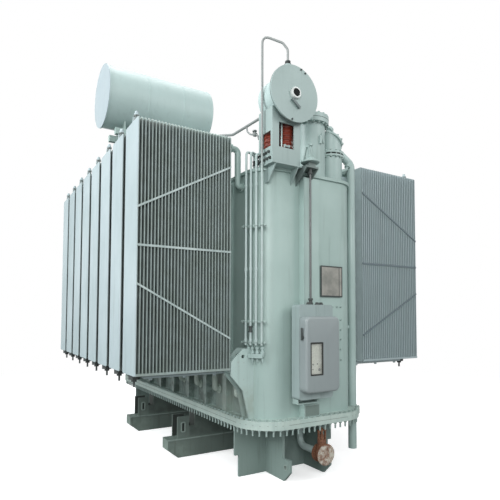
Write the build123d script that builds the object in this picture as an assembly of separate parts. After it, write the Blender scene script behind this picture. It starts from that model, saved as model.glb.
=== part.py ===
from build123d import *
import math
import os

os.makedirs("parts", exist_ok=True)

# Oil-filled power transformer on skids, in millimetres.
# X runs across the tank, Y along it with the tap changer drive at the -Y end, and Z up.
# Pieces are laid out from the middle of the tank, and saved with the origin on the floor
# below the middle of the whole transformer, door to far flange.
overrun = 20

# Tank: an upright housing with rounded corners, its bolted flange low down, and a flat cover.
tank_width = 1840
tank_length = 6110
tank_corner_radius = 390
tank_height = 3521
flange_height = 824
flange_plate = 60
flange_overhang = 160
cover_thickness = 45
cover_overhang = 30

# Boxed channels that stiffen the walls.
channel_width = 280
channel_depth = 120
channel_offset = -110
channel_end_gap = 60
rib_width = 120
rib_depth = 100
far_channel_count = 3
far_channel_pitch = 440

# Banks of flat-fin radiators along both long sides.
radiator_count = 8
radiator_pitch = 686
radiator_width = 540
radiator_height = 3280
radiator_bottom = 1634
bank_setback = 235
bank_gap = 2520
fin_count = 30
fin_pitch = 45.5
fin_thickness = 14
header_height = 110
header_taper = 90
collector_width = 110
collector_height = 60
collector_short = 180
stub_length = 90
lug_thickness = 14
lug_width = 60
lug_height = 75
lug_end_gap = 20
lug_spacing = 540

# Flat straps that brace the end radiators, as rises from the middle of the fins.
strap_width = 42
strap_thickness = 8
strap_outer_rise = 480
strap_inner_rise = 1200

# Swan-neck pipes between radiators and tank wall, built up of flat-sided segments.
neck_radius = 42
neck_sides = 8
neck_line = 1000
neck_top_drop = 548
neck_bottom_drop = 364
neck_flange_radius = 78
neck_flange_thickness = 20
header_drop = 60

# Skid base: two boat-shaped beams across, and a braced foot under each end.
beam_near_y = -945
beam_far_y = 1150
beam_width = 250
beam_length = 2932
beam_foot_length = 2568
runner_height = 310
runner_tip_height = 142
beam_web = 25
beam_body_length = 1960
beam_step_height = 200
lug_plate_inner = 1091
lug_plate_outer = 1301
lug_plate_top = 680
lug_slot_width = 44
lug_slot_height = 134
lug_slot_level = 502
rail_spacing = 740
rail_thickness = 40
foot_cross_offset = 690
foot_cross_reach = 932
foot_cross_lower_reach = 860
foot_rail_reach = 220
foot_rail_lower_reach = 40
foot_rail_length = 1150
foot_chamfer = 150
foot_step_height = 320
haul_hole_radius = 45
haul_hole_inset = 100
haul_hole_height = 204

# Main conservator: a drum across the tank, carried on two frames from the cover.
# From here on a rise is a height over the cover.
conservator_radius = 533
conservator_length = 2065
conservator_centre_x = -1396
conservator_rise = 1784
conservator_rim = 26
conservator_rim_width = 16
conservator_dish = 110
frame_beam_height = 110
frame_beam_width = 90
frame_spread = 420
frame_inner_x = -230
frame_outer_x = -850
frame_reach = 2240
frame_strut_reach = 1700
saddle_thickness = 30
saddle_clearance = 70
saddle_wrap = 190
saddle_outer_x = -2080
saddle_inner_x = -720
filler_radius = 28
filler_height = 60
filler_spacing = 900

# Relay pipe between conservator and cover.
relay_top_x = -540
relay_foot_x = -60
relay_radius = 45
relay_bend = 120
relay_high_rise = 690
relay_low_rise = 610
relay_body_radius = 95
relay_body_length = 180

# Tap changer conservator: a short drum along Y on a windowed stand at the near end.
drum_radius = 328
drum_length = 420
drum_dish = 90
drum_centre_x = -524
drum_rise = 1002
drum_face_reach = 275
end_cover_radius = 405
end_cover_thickness = 30
gauge_ring_radius = 66
gauge_ring_height = 40
gauge_bore_radius = 42
gauge_bar_length = 150
gauge_bar_width = 30
gauge_bar_height = 22
gauge_bar_drop = 150
gauge_bar_tilt = 38
cap_radius = 52
cap_height = 100
cap_setback = 60
cap_offset = -60
stand_plate = 18
stand_left = -832
stand_right = -350
stand_front_reach = 165
stand_depth = 350
stand_shoulder = 200
window_side_margin = 112
window_sill = 219
window_head = 570
side_window_margin = 45
side_window_height = 221
platform_thickness = 25
platform_margin = 12
platform_front_margin = 24
platform_depth = 500
gusset_thickness = 16
gusset_drop = 180
gusset_inset = 50

# Turrets on the cover.
turret_x = 262
turret_inset = 355
turret_radius = 225
turret_height = 914
turret_flange_radius = 285
turret_flange_thickness = 65
turret_lug_width = 40
turret_lug_height = 130
turret_lug_reach = 30
turret_lug_level_share = 0.62
angled_x = 700
angled_inset = 385
angled_radius = 185
angled_height = 475
angled_ring_radius = 210
angled_ring_thickness = 28
angled_ring_gap = 26
angled_upper_radius = 175
angled_upper_height = 208
angled_tilt = 35
angled_lid_radius = 205
angled_lid_thickness = 30

# Bushings: a brown insulator with sheds on a post.
bushing_places = ((-175, 935), (143, 815))
bushing_post_radius = 125
bushing_post_height = 630
bushing_flange_radius = 150
bushing_flange_thickness = 30
bushing_core_radius = 66
bushing_shed_radius = 98
bushing_shed_count = 5
bushing_shed_pitch = 72
terminal_radius = 24
terminal_height = 90

# Tap changer head, bevel gear, shaft and motor drive cabinet.
head_x = -205
head_inset = 455
head_radius = 180
head_height = 160
head_flange_radius = 212
head_flange_thickness = 36
head_dome = 50
shaft_radius = 15
shaft_reach = 90
gear_size = 110
gear_plate_thickness = 22
gear_plate_width = 220
gear_plate_overlap = 110
gear_gusset_width = 16
cabinet_left = -470
cabinet_width = 600
cabinet_bottom = 1236
cabinet_height = 1314
cabinet_depth = 175
cabinet_corner = 40
cabinet_frame = 40
cabinet_back = 15
door_bottom = 1344
door_height = 1040
door_depth = 150
door_wall = 12
door_corner = 45
door_gap = 5
door_window_left = 70
door_window_width = 225
door_window_bottom = 236
door_window_height = 453
glass_thickness = 8
glass_lap = 20
hinge_radius = 14
hinge_pin_radius = 7
hinge_clearance = 0.5
hinge_knuckle = 60
hinge_inset = 130
hinge_reach = 20
hinge_leaf = 10
handle_length = 160
handle_width = 24
handle_reach = 30

# Pressure relief pipe at the near right corner, and the pot that it starts from.
relief_x = 1005
relief_radius = 66
relief_bottom = 267
relief_shoulder_rise = 384
relief_bend = 200
relief_pad_radius = 118
relief_clamp_level = 2190
relief_clamp_width = 60
relief_clamp_height = 50
relief_clearance = 6
relief_knee_x = 985
relief_knee_inset = 655
relief_knee_rise = 820
pot_x = 800
pot_inset = 1085
pot_radius = 140
pot_height = 984
pot_entry_rise = 870
pot_flange_radius = 175
pot_flange_thickness = 40

# Thin pipes down the near left corner, at angles round it, and their clamps and box.
thin_radius = 17
thin_offset = 108
thin_sides = 8
thin_first_angle = 197
thin_angle_step = 9.7
thin_count = 3
thin_bottom = 1980
thin_top_rise = 240
thin_foot_x = -840
thin_foot_pitch = 75
thin_foot_inset = 520
breather_high_rise = 1830
breather_low_rise = 1760
clamp_levels = (2290, 3640)
clamp_height = 40
clamp_thickness = 12
clamp_margin_angle = 3
clamp_foot_width = 50
box_angle = 215
box_reach = 95
box_width = 130
box_height = 180

# Collecting pipe from the tap changer conservator back to the main one.
collect_radius = 22
collect_x = -600
collect_start_rise = 910
collect_low_inset = 1375
collect_low_rise = 950
collect_end_rise = 1420
branch_inset = 815
branch_radius = 14
branch_low_rise = 790
branch_end_rise = 730
branch_reach = 170
branch_valve_radius = 30

# Jacking brackets on the long walls.
jack_reach = 330
jack_width = 200
jack_plate = 30
jack_bottom = 1344
jack_height = 586
jack_crown = 140
jack_shoulder = 180
jack_waist = 216
jack_gusset_foot = 40
jack_band_height = 70
jack_band_level = 260
jack_end_inset = 325
jack_right_inset = 685
jack_hole_radius = 26
jack_hole_pitch = 90
jack_hole_drop = 110

# Drain pipe and valve under the near end.
drain_x = 158
drain_height = 368
drain_radius = 52
drain_bend = 130
drain_drop_inset = 520
drain_face_reach = 120
drain_body_length = 150
drain_body_radius = 105
drain_flange_radius = 155
drain_flange_thickness = 34
drain_stem_radius = 42
drain_stem_height = 300

# Data plate on the near wall.
plate_left = 146
plate_width = 416
plate_bottom = 2686
plate_height = 458
plate_thickness = 12
plate_stud_radius = 12
plate_stud_length = 15
plate_stud_inset = 40

# Places worked out from the sizes above.
flange_top = flange_height + 2 * flange_plate
wall_top = flange_top + tank_height
cover_top = wall_top + cover_thickness
near_wall = -tank_length / 2
far_wall = tank_length / 2
side_wall = tank_width / 2
corner_x = side_wall - tank_corner_radius
corner_y = near_wall + tank_corner_radius
channel_height = tank_height - channel_end_gap
channel_face = near_wall - channel_depth
bank_near = near_wall + bank_setback
bank_inner = bank_gap / 2
fin_depth = (fin_count - 1) * fin_pitch + fin_thickness
bank_outer = bank_inner + fin_depth
stub_x = bank_inner - stub_length
radiator_top = radiator_bottom + radiator_height
drum_face = near_wall - drum_face_reach
relief_y = bank_near
door_front = channel_face - cabinet_depth - door_gap - door_depth
whole_middle = (door_front + far_wall + flange_overhang) / 2
drum_centre_z = cover_top + drum_rise
thin_top = cover_top + thin_top_rise
collect_start_z = cover_top + collect_start_rise
collect_low_z = cover_top + collect_low_rise
branch_low_z = cover_top + branch_low_rise
branch_end_z = cover_top + branch_end_rise
bank_middle = bank_near + radiator_width / 2 + (radiator_count - 1) * radiator_pitch / 2
floor_foot = (Align.CENTER, Align.CENTER, Align.MIN)


def radiator_middle(index):
    """Y of the middle of a radiator, counted from the near end."""
    return bank_near + radiator_width / 2 + index * radiator_pitch


def block(x, y, z, width, depth, height):
    """Upright block with its middle at x and y and its foot at z."""
    return Pos(x, y, z) * Box(width, depth, height, align=floor_foot)


def disc(x, y, z, radius, height):
    """Upright cylinder with its foot at z."""
    return Pos(x, y, z) * Cylinder(radius, height, align=floor_foot)


def rod(start, end, radius):
    """Cylinder from one point to another."""
    start = Vector(start)
    way = Vector(end) - start
    return Plane(origin=start, z_dir=way) * Cylinder(radius, way.length, align=floor_foot)


def pipe(points, radius, bend):
    """Round pipe through points, with bends of one radius."""
    path = FilletPolyline(*points, radius=bend)
    start = Plane(origin=path @ 0, z_dir=path % 0)
    return sweep(start * Circle(radius), path)


def mitred_pipe(points, radius, sides):
    """Pipe of flat-sided segments through points, with mitred corners."""
    path = Polyline(*points)
    start = Plane(origin=path @ 0, z_dir=path % 0)
    return sweep(start * RegularPolygon(radius, sides), path, transition=Transition.RIGHT)


def rounded_slab(width, length, radius, z, height):
    """Slab with rounded corners, centred on the tank."""
    return Pos(0, 0, z) * extrude(RectangleRounded(width, length, radius), height)


def across(points, y, thickness):
    """Plate across the tank: an outline in X and Z, centred on y."""
    face = make_face(Polyline(*points, close=True))
    plane = Plane(origin=(0, y + thickness / 2, 0), x_dir=(1, 0, 0), z_dir=(0, -1, 0))
    return extrude(plane * face, thickness)


def along(points, x, thickness):
    """Plate along the tank: an outline in Y and Z, centred on x."""
    face = make_face(Polyline(*points, close=True))
    plane = Plane(origin=(x - thickness / 2, 0, 0), x_dir=(0, 1, 0), z_dir=(1, 0, 0))
    return extrude(plane * face, thickness)


def dished_end(radius, depth):
    """Shallow dome that stands on its flat side."""
    sphere_radius = (radius ** 2 + depth ** 2) / (2 * depth)
    dome = Pos(0, 0, depth - sphere_radius) * Sphere(sphere_radius)
    return dome & Cylinder(radius, depth, align=floor_foot)


def mirrored(shape):
    """The same piece on the other long side."""
    return mirror(shape, about=Plane.YZ)


def together(shapes):
    """One node of several solids."""
    return Compound(children=list(shapes))


def save(name, shape):
    export_step(Pos(0, -whole_middle, 0) * shape, f"parts/{name}.step")


# Tank body with its upper flange, the bottom plate that the flange is bolted to, and the cover.
# The pressure relief pipe passes both flange plates through an ear at the near right corner.
def flange_slab(z):
    width = tank_width + 2 * flange_overhang
    length = tank_length + 2 * flange_overhang
    slab = rounded_slab(width, length, tank_corner_radius + flange_overhang, z, flange_plate)
    slab += disc(relief_x, relief_y, z, relief_pad_radius, flange_plate)
    return slab - disc(relief_x, relief_y, z, relief_radius + relief_clearance, flange_plate)


walls = rounded_slab(tank_width, tank_length, tank_corner_radius, flange_top, tank_height)
cover = rounded_slab(tank_width + 2 * cover_overhang, tank_length + 2 * cover_overhang,
                     tank_corner_radius + cover_overhang, wall_top, cover_thickness)
save("tank_body", walls + flange_slab(flange_height + flange_plate))
save("bottom_plate", flange_slab(flange_height))
save("tank_cover", cover)

# Boxed channels: one behind the drive cabinet, three on the far wall,
# and one in each gap between the radiators.
near_channel = block(channel_offset, near_wall - channel_depth / 2, flange_top,
                     channel_width, channel_depth, channel_height)
save("near_wall_channel", near_channel)
channels = []
for index in range(far_channel_count):
    x = (index - (far_channel_count - 1) / 2) * far_channel_pitch
    channels.append(block(x, far_wall + channel_depth / 2, flange_top,
                          rib_width, channel_depth, channel_height))
for index in range(radiator_count - 1):
    y = radiator_middle(index) + radiator_pitch / 2
    x = side_wall + rib_depth / 2
    channels.append(block(x, y, flange_top, rib_depth, rib_width, channel_height))
    channels.append(block(-x, y, flange_top, rib_depth, rib_width, channel_height))
save("wall_channels", together(channels))


# Radiator: a block of upright fins between tapered headers, with its collector bar below,
# a stub to the upper pipe, and two lifting lugs. It is made for the +X bank and copied.
def radiator():
    half = radiator_width / 2
    crown = half - header_taper
    low = radiator_bottom
    high = radiator_top
    outline = [(-half, low + header_height), (-crown, low), (crown, low),
               (half, low + header_height), (half, high - header_height), (crown, high),
               (-crown, high), (-half, high - header_height)]
    shape = along(outline, bank_inner + fin_depth / 2, fin_depth)
    gap = fin_pitch - fin_thickness
    slots = []
    for fin in range(fin_count - 1):
        x = bank_inner + fin_pitch * fin + fin_thickness + gap / 2
        slots.append(block(x, 0, low + header_height, gap, radiator_width + overrun,
                           radiator_height - 2 * header_height))
    shape -= slots
    collector = bank_outer - collector_short - stub_x
    shape += block(stub_x + collector / 2, 0, low - collector_height, collector,
                   collector_width, collector_height)
    stub = (stub_x, 0, high - header_drop)
    shape += mitred_pipe([stub, (bank_inner, 0, high - header_drop)], neck_radius, neck_sides)
    for gap_from_end in (lug_end_gap, lug_end_gap + lug_spacing):
        x = bank_outer - gap_from_end - lug_width / 2
        shape += block(x, 0, high, lug_width, lug_thickness, lug_height)
    return shape


first_radiator = radiator()
for index in range(radiator_count):
    placed = Pos(0, radiator_middle(index), 0) * first_radiator
    save(f"radiator_right_{index + 1}", placed)
    save(f"radiator_left_{index + 1}", mirrored(placed))


# Straps on the open faces of the first and last radiator of each bank.
def strap_bars():
    middle = radiator_bottom + radiator_height / 2
    half = strap_width / 2
    near = bank_near - strap_thickness / 2
    last = radiator_middle(radiator_count - 1) + radiator_width / 2 + strap_thickness / 2
    bars = []
    for side in (1, 0, -1):
        inner = middle + side * strap_inner_rise
        outer = middle + side * strap_outer_rise
        outline = [(bank_inner, inner - half), (bank_outer, outer - half),
                   (bank_outer, outer + half), (bank_inner, inner + half)]
        for y in (near, last):
            bar = across(outline, y, strap_thickness)
            bars.append(bar)
            bars.append(mirrored(bar))
    return bars


save("radiator_straps", together(strap_bars()))


# Swan-neck pipes, one above and one below for each radiator, flanged where they meet the wall.
def swan_neck(y, start_z, drop):
    end_z = start_z - drop
    shape = mitred_pipe([(stub_x, y, start_z), (neck_line, y, start_z), (neck_line, y, end_z),
                         (side_wall, y, end_z)], neck_radius, neck_sides)
    face = (side_wall + neck_flange_thickness, y, end_z)
    return shape + mitred_pipe([(side_wall, y, end_z), face], neck_flange_radius, neck_sides)


necks = []
for index in range(radiator_count):
    y = radiator_middle(index)
    necks.append(swan_neck(y, radiator_top - header_drop, neck_top_drop))
    necks.append(swan_neck(y, radiator_bottom - collector_height / 2, neck_bottom_drop))
save("radiator_pipes_right", together(necks))
save("radiator_pipes_left", mirrored(together(necks)))


# Skid beams across the tank: a runner with raised tips under two webs that end in slotted lugs.
def skid_beam(y):
    half = beam_length / 2
    foot = beam_foot_length / 2
    shape = across([(-half, runner_tip_height), (-foot, 0), (foot, 0), (half, runner_tip_height),
                    (half, runner_height), (-half, runner_height)], y, beam_width)
    step = runner_height + beam_step_height
    body = beam_body_length / 2
    inner = lug_plate_inner
    outer = lug_plate_outer
    outline = [(-outer, runner_height), (outer, runner_height), (outer, lug_plate_top),
               (inner, lug_plate_top), (inner, step), (body, step), (body, flange_height),
               (-body, flange_height), (-body, step), (-inner, step), (-inner, lug_plate_top),
               (-outer, lug_plate_top)]
    for side in (-1, 1):
        shape += across(outline, y + side * (beam_width - beam_web) / 2, beam_web)
    for end in (-1, 1):
        slot_x = end * (inner + outer) / 2
        shape -= block(slot_x, y, lug_slot_level - lug_slot_height / 2, lug_slot_width,
                       beam_width + overrun, lug_slot_height)
        shape += block(end * (body - beam_web / 2), y, runner_height, beam_web,
                       beam_width - 2 * beam_web, flange_height - runner_height)
    return shape


save("skid_beams", together([skid_beam(beam_near_y), skid_beam(beam_far_y)]))


# Braced foot under each end: two rails with hauling holes, and a plate across in three parts,
# between the rails and outside them.
def end_foot():
    tip = near_wall + foot_rail_lower_reach
    upper = near_wall + foot_rail_reach
    back = near_wall + foot_rail_length
    step = foot_step_height
    rail_outline = [(tip + foot_chamfer, 0), (back, 0), (back, flange_height),
                    (upper, flange_height), (upper, step), (tip, step), (tip, foot_chamfer)]
    lower = foot_cross_lower_reach
    wide = foot_cross_reach
    cross = across([(-lower, 0), (lower, 0), (lower, step), (wide, step), (wide, flange_height),
                    (-wide, flange_height), (-wide, step), (-lower, step)],
                   near_wall + foot_cross_offset, rail_thickness)
    hole_y = tip + haul_hole_inset
    plates = []
    for x in (-rail_spacing / 2, rail_spacing / 2):
        rail = along(rail_outline, x, rail_thickness)
        cross -= rail
        plates.append(rail - rod((x - rail_thickness, hole_y, haul_hole_height),
                                 (x + rail_thickness, hole_y, haul_hole_height),
                                 haul_hole_radius))
    return together([*plates, *cross.solids()])


near_foot = end_foot()
save("end_foot_near", near_foot)
save("end_foot_far", mirror(near_foot, about=Plane.XZ))

# Main conservator: a drum with a rimmed flat end on the left and a dished end on the right.
drum_left = conservator_centre_x - conservator_length / 2
drum_right = conservator_centre_x + conservator_length / 2 - conservator_dish
axis_y = bank_middle
axis_z = cover_top + conservator_rise
conservator = rod((drum_left, axis_y, axis_z), (drum_right, axis_y, axis_z), conservator_radius)
conservator += rod((drum_left, axis_y, axis_z), (drum_left + conservator_rim, axis_y, axis_z),
                   conservator_radius + conservator_rim_width)
conservator += (Plane(origin=(drum_right, axis_y, axis_z), z_dir=(1, 0, 0))
                * dished_end(conservator_radius, conservator_dish))
for side in (-1, 1):
    x = conservator_centre_x + side * filler_spacing / 2
    conservator += disc(x, axis_y, axis_z, filler_radius, conservator_radius + filler_height)
save("main_conservator", conservator)

# Its support: two frames of posts, an outrigger beam and a strut, joined by two saddle plates.
beam_top = axis_z - conservator_radius - saddle_clearance
beam_low = beam_top - frame_beam_height


def support_frame(y):
    half = frame_beam_width / 2
    right = frame_inner_x + half
    shape = block((right - frame_reach) / 2, y, beam_low, right + frame_reach,
                  frame_beam_width, frame_beam_height)
    for x in (frame_inner_x, frame_outer_x):
        shape += block(x, y, cover_top, frame_beam_width, frame_beam_width, beam_low - cover_top)
    shape += across([(frame_outer_x - half, cover_top), (frame_outer_x + half, cover_top),
                     (half - frame_strut_reach, beam_low), (-half - frame_strut_reach, beam_low)],
                    y, frame_beam_width)
    return shape


def saddle(x):
    plate = block(x, axis_y, beam_top, saddle_thickness, frame_spread + frame_beam_width,
                  saddle_clearance + saddle_wrap)
    return plate - conservator


support = support_frame(axis_y - frame_spread / 2) + support_frame(axis_y + frame_spread / 2)
save("conservator_support", support + saddle(saddle_outer_x) + saddle(saddle_inner_x))

# Relay pipe from the bottom of the conservator to the cover, with the relay in its run.
relay_high_z = cover_top + relay_high_rise
relay_low_z = cover_top + relay_low_rise
relay = pipe([(relay_top_x, axis_y, axis_z), (relay_top_x, axis_y, relay_high_z),
              (relay_foot_x, axis_y, relay_low_z), (relay_foot_x, axis_y, cover_top)],
             relay_radius, relay_bend)
relay_middle = Vector((relay_top_x + relay_foot_x) / 2, axis_y, (relay_high_z + relay_low_z) / 2)
relay_way = Vector(relay_foot_x - relay_top_x, 0, relay_low_z - relay_high_z).normalized()
relay_half = relay_way * (relay_body_length / 2)
relay += rod(relay_middle - relay_half, relay_middle + relay_half, relay_body_radius)
save("relay_pipe", relay - conservator)

# Tap changer conservator: a drum with a dished back and a cap, and its end cover with the gauge.
drum_front = drum_face + end_cover_thickness
drum_back = drum_front + drum_length
cap_x = drum_centre_x + cap_offset
cap_y = drum_front + cap_setback
cap_z = drum_centre_z + drum_radius + cap_height
drum = rod((drum_centre_x, drum_front, drum_centre_z), (drum_centre_x, drum_back, drum_centre_z),
           drum_radius)
drum += (Plane(origin=(drum_centre_x, drum_back, drum_centre_z), z_dir=(0, 1, 0))
         * dished_end(drum_radius, drum_dish))
drum += disc(cap_x, cap_y, drum_centre_z, cap_radius, cap_z - drum_centre_z)
save("tap_conservator", drum)

cover_face = (drum_centre_x, drum_face, drum_centre_z)
ring_face = (drum_centre_x, drum_face - gauge_ring_height, drum_centre_z)
end_cover = rod((drum_centre_x, drum_front, drum_centre_z), cover_face, end_cover_radius)
end_cover += rod(cover_face, ring_face, gauge_ring_radius)
end_cover -= rod(cover_face, ring_face, gauge_bore_radius)
bar_place = Pos(drum_centre_x, drum_face - gauge_bar_height / 2, drum_centre_z - gauge_bar_drop)
end_cover += bar_place * Rot(0, gauge_bar_tilt, 0) * Box(gauge_bar_length, gauge_bar_height,
                                                         gauge_bar_width)
save("tap_conservator_cover", end_cover)

# Platform on the cover under the stand, with two gussets from its overhang to the wall.
stand_front = near_wall - stand_front_reach
stand_middle = (stand_left + stand_right) / 2
platform_front = stand_front - platform_front_margin
platform = block(stand_middle, platform_front + platform_depth / 2, cover_top,
                 stand_right - stand_left + 2 * platform_margin, platform_depth, platform_thickness)
for x in (stand_left + gusset_inset, stand_right - gusset_inset):
    gusset = along([(platform_front, cover_top), (near_wall + tank_corner_radius, cover_top),
                    (near_wall + tank_corner_radius, wall_top - gusset_drop),
                    (near_wall, wall_top - gusset_drop)], x, gusset_thickness)
    platform += gusset - walls - cover
save("tap_platform", platform)


# Stand: a three-sided plate box with windows, cut to the curve of the drum.
def tap_stand():
    foot = cover_top + platform_thickness
    width = stand_right - stand_left
    middle_y = stand_front + stand_depth / 2
    height = drum_centre_z - stand_shoulder - foot
    shape = block(stand_middle, middle_y, foot, width, stand_depth, height)
    shape -= block(stand_middle, middle_y + stand_plate, foot, width - 2 * stand_plate,
                   stand_depth, height)
    shape -= block(stand_middle, stand_front, foot + window_sill, width - 2 * window_side_margin,
                   2 * stand_plate + overrun, window_head - window_sill)
    shape -= block(stand_middle, middle_y, foot + window_sill, width + overrun,
                   stand_depth - 2 * side_window_margin, side_window_height)
    return shape - drum


save("tap_stand", tap_stand())

# Large turret: a barrel with a bolted lid and two lifting lugs.
turret_y = near_wall + turret_inset
turret = disc(turret_x, turret_y, cover_top, turret_radius, turret_height)
turret_top = cover_top + turret_height
turret += disc(turret_x, turret_y, turret_top, turret_flange_radius, turret_flange_thickness)
lug_z = cover_top + turret_height * turret_lug_level_share
turret += block(turret_x, turret_y, lug_z, turret_lug_width,
                2 * (turret_radius + turret_lug_reach), turret_lug_height)
save("turret", turret)
save("turret_lid", disc(turret_x, turret_y, turret_top + turret_flange_thickness,
                        turret_flange_radius, turret_flange_thickness))

# Angled turret: a revolved lower barrel with a double flange, and a mitred top under a round lid.
ring_low = cover_top + angled_height
neck_low = ring_low + angled_ring_thickness
neck_high = neck_low + angled_ring_gap
upper_low = neck_high + angled_ring_thickness
upper_high = upper_low + 2 * angled_upper_height
angled_profile = [(0, cover_top), (angled_radius, cover_top), (angled_radius, ring_low),
                  (angled_ring_radius, ring_low), (angled_ring_radius, neck_low),
                  (angled_radius, neck_low), (angled_radius, neck_high),
                  (angled_ring_radius, neck_high), (angled_ring_radius, upper_low),
                  (angled_upper_radius, upper_low), (angled_upper_radius, upper_high),
                  (0, upper_high)]
angled_y = near_wall + angled_inset
angled = revolve(Plane.XZ * make_face(Polyline(*angled_profile, close=True)), Axis.Z)
mitre = Pos(0, 0, upper_low + angled_upper_height) * Rot(0, angled_tilt, 0)
angled -= mitre * Cylinder(2 * angled_lid_radius, 2 * angled_upper_height, align=floor_foot)
angled += mitre * Cylinder(angled_lid_radius, angled_lid_thickness, align=floor_foot)
save("angled_turret", Pos(angled_x, angled_y, 0) * angled)

# Bushings: posts with flanges, and the insulators on them, revolved round their sheds.
shed_half = bushing_shed_pitch / 2
insulator_outline = [(0, 0), (bushing_core_radius, 0)]
for shed in range(bushing_shed_count):
    shed_z = bushing_shed_pitch * shed + shed_half
    insulator_outline.append((bushing_core_radius, shed_z))
    insulator_outline.append((bushing_shed_radius, shed_z))
    insulator_outline.append((bushing_core_radius, shed_z + shed_half))
insulator_top = bushing_shed_pitch * (bushing_shed_count + 1)
insulator_outline.append((bushing_core_radius, insulator_top))
insulator_outline.append((0, insulator_top))
insulator = revolve(Plane.XZ * make_face(Polyline(*insulator_outline, close=True)), Axis.Z)
insulator += disc(0, 0, insulator_top, terminal_radius, terminal_height)
posts = []
insulators = []
for x, inset in bushing_places:
    y = near_wall + inset
    post_top = cover_top + bushing_post_height
    post = disc(x, y, cover_top, bushing_post_radius, bushing_post_height)
    post += disc(x, y, post_top, bushing_flange_radius, bushing_flange_thickness)
    posts.append(post)
    insulators.append(Pos(x, y, post_top + bushing_flange_thickness) * insulator)
save("bushing_posts", together(posts))
save("bushings", together(insulators))

# Tap changer head: a flanged barrel with a domed lid.
head_y = near_wall + head_inset
lid_z = cover_top + head_height
head = disc(head_x, head_y, cover_top, head_radius, head_height)
head += disc(head_x, head_y, lid_z, head_flange_radius, head_flange_thickness)
head += Pos(head_x, head_y, lid_z + head_flange_thickness) * dished_end(head_radius, head_dome)
save("tap_changer_head", head)

# Bevel gear on its gusseted bracket, with the level shaft to the head and the upright shaft below.
shaft_y = channel_face - shaft_reach
gear_z = cover_top + gear_plate_thickness
level_z = gear_z + gear_size / 2
gear_front = shaft_y - gear_size / 2
gear_back = near_wall + gear_plate_overlap
gear = block(head_x, shaft_y, gear_z, gear_size, gear_size, gear_size)
gear += block(head_x, (gear_front + gear_back) / 2, cover_top, gear_plate_width,
              gear_back - gear_front, gear_plate_thickness)
for side in (-1, 1):
    x = head_x + side * (gear_plate_width - gear_gusset_width) / 2
    gusset = along([(gear_front, cover_top), (near_wall, cover_top),
                    (near_wall, wall_top - gusset_drop)], x, gear_gusset_width)
    gear += gusset - cover - near_channel
gear += rod((head_x, shaft_y, level_z), (head_x, head_y, level_z), shaft_radius) - head
gear -= disc(head_x, shaft_y, cover_top, 2 * shaft_radius, gear_plate_thickness)
save("bevel_gear", gear)
cabinet_top = cabinet_bottom + cabinet_height
save("drive_shaft", rod((head_x, shaft_y, cabinet_top), (head_x, shaft_y, gear_z), shaft_radius))

# Motor drive cabinet: a hollow box on the wall channel, open to the front behind its door,
# with the lower and upper hinge knuckles and their pins at the right of the opening.
cabinet_right = cabinet_left + cabinet_width
cabinet_middle = cabinet_left + cabinet_width / 2
cabinet_front = channel_face - cabinet_depth
hinge_x = cabinet_right + hinge_reach
hinge_y = cabinet_front - door_gap / 2
hinge_levels = (door_bottom + hinge_inset, door_bottom + door_height - hinge_inset - 2 * hinge_knuckle)


def cabinet():
    middle_y = channel_face - cabinet_depth / 2
    shape = block(cabinet_middle, middle_y, cabinet_bottom, cabinet_width, cabinet_depth,
                  cabinet_height)
    shape = fillet(shape.edges().filter_by(Axis.Y), cabinet_corner)
    shape -= block(cabinet_middle, middle_y - cabinet_back, door_bottom + cabinet_frame,
                   cabinet_width - 2 * cabinet_frame, cabinet_depth, door_height - 2 * cabinet_frame)
    for level in hinge_levels:
        leaf = block((cabinet_right + hinge_x) / 2, hinge_y + hinge_radius, level,
                     hinge_reach, hinge_leaf, hinge_knuckle)
        shape += leaf + disc(hinge_x, hinge_y, level, hinge_radius, hinge_knuckle)
        shape += disc(hinge_x, hinge_y, level, hinge_pin_radius, 2 * hinge_knuckle)
    return shape


save("motor_cabinet", cabinet())


# Cabinet door: a pressed hood with rounded corners and a window, hung at its right edge.
def door():
    back = cabinet_front - door_gap
    front = back - door_depth
    middle_y = (back + front) / 2
    shape = block(cabinet_middle, middle_y, door_bottom, cabinet_width, door_depth, door_height)
    shape = fillet(shape.edges().filter_by(Axis.Y), door_corner)
    shape = chamfer(shape.faces().sort_by(Axis.Y)[0].edges(), door_wall)
    hollow = block(cabinet_middle, middle_y + door_wall, door_bottom + door_wall,
                   cabinet_width - 2 * door_wall, door_depth, door_height - 2 * door_wall)
    shape -= fillet(hollow.edges().filter_by(Axis.Y), door_corner - door_wall)
    window_x = cabinet_left + door_window_left + door_window_width / 2
    window_z = door_bottom + door_window_bottom
    shape -= block(window_x, front, window_z, door_window_width, 2 * door_wall + overrun,
                   door_window_height)
    handle_z = door_bottom + (door_height - handle_length) / 2
    shape += block(cabinet_left - handle_reach / 2, middle_y, handle_z, handle_reach, handle_width,
                   handle_length)
    for level in hinge_levels:
        knuckle_z = level + hinge_knuckle + hinge_clearance
        leaf = block((cabinet_right + hinge_x) / 2, hinge_y - hinge_radius, knuckle_z,
                     hinge_reach, hinge_leaf, hinge_knuckle)
        knuckle = disc(hinge_x, hinge_y, knuckle_z, hinge_radius, hinge_knuckle)
        bore = disc(hinge_x, hinge_y, knuckle_z, hinge_pin_radius + hinge_clearance, hinge_knuckle)
        shape += (leaf + knuckle) - bore
    return shape


save("cabinet_door", door())
pane_y = cabinet_front - door_gap - door_depth + door_wall + glass_thickness / 2
save("door_window", block(cabinet_left + door_window_left + door_window_width / 2, pane_y,
                          door_bottom + door_window_bottom - glass_lap,
                          door_window_width + 2 * glass_lap, glass_thickness,
                          door_window_height + 2 * glass_lap))

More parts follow.
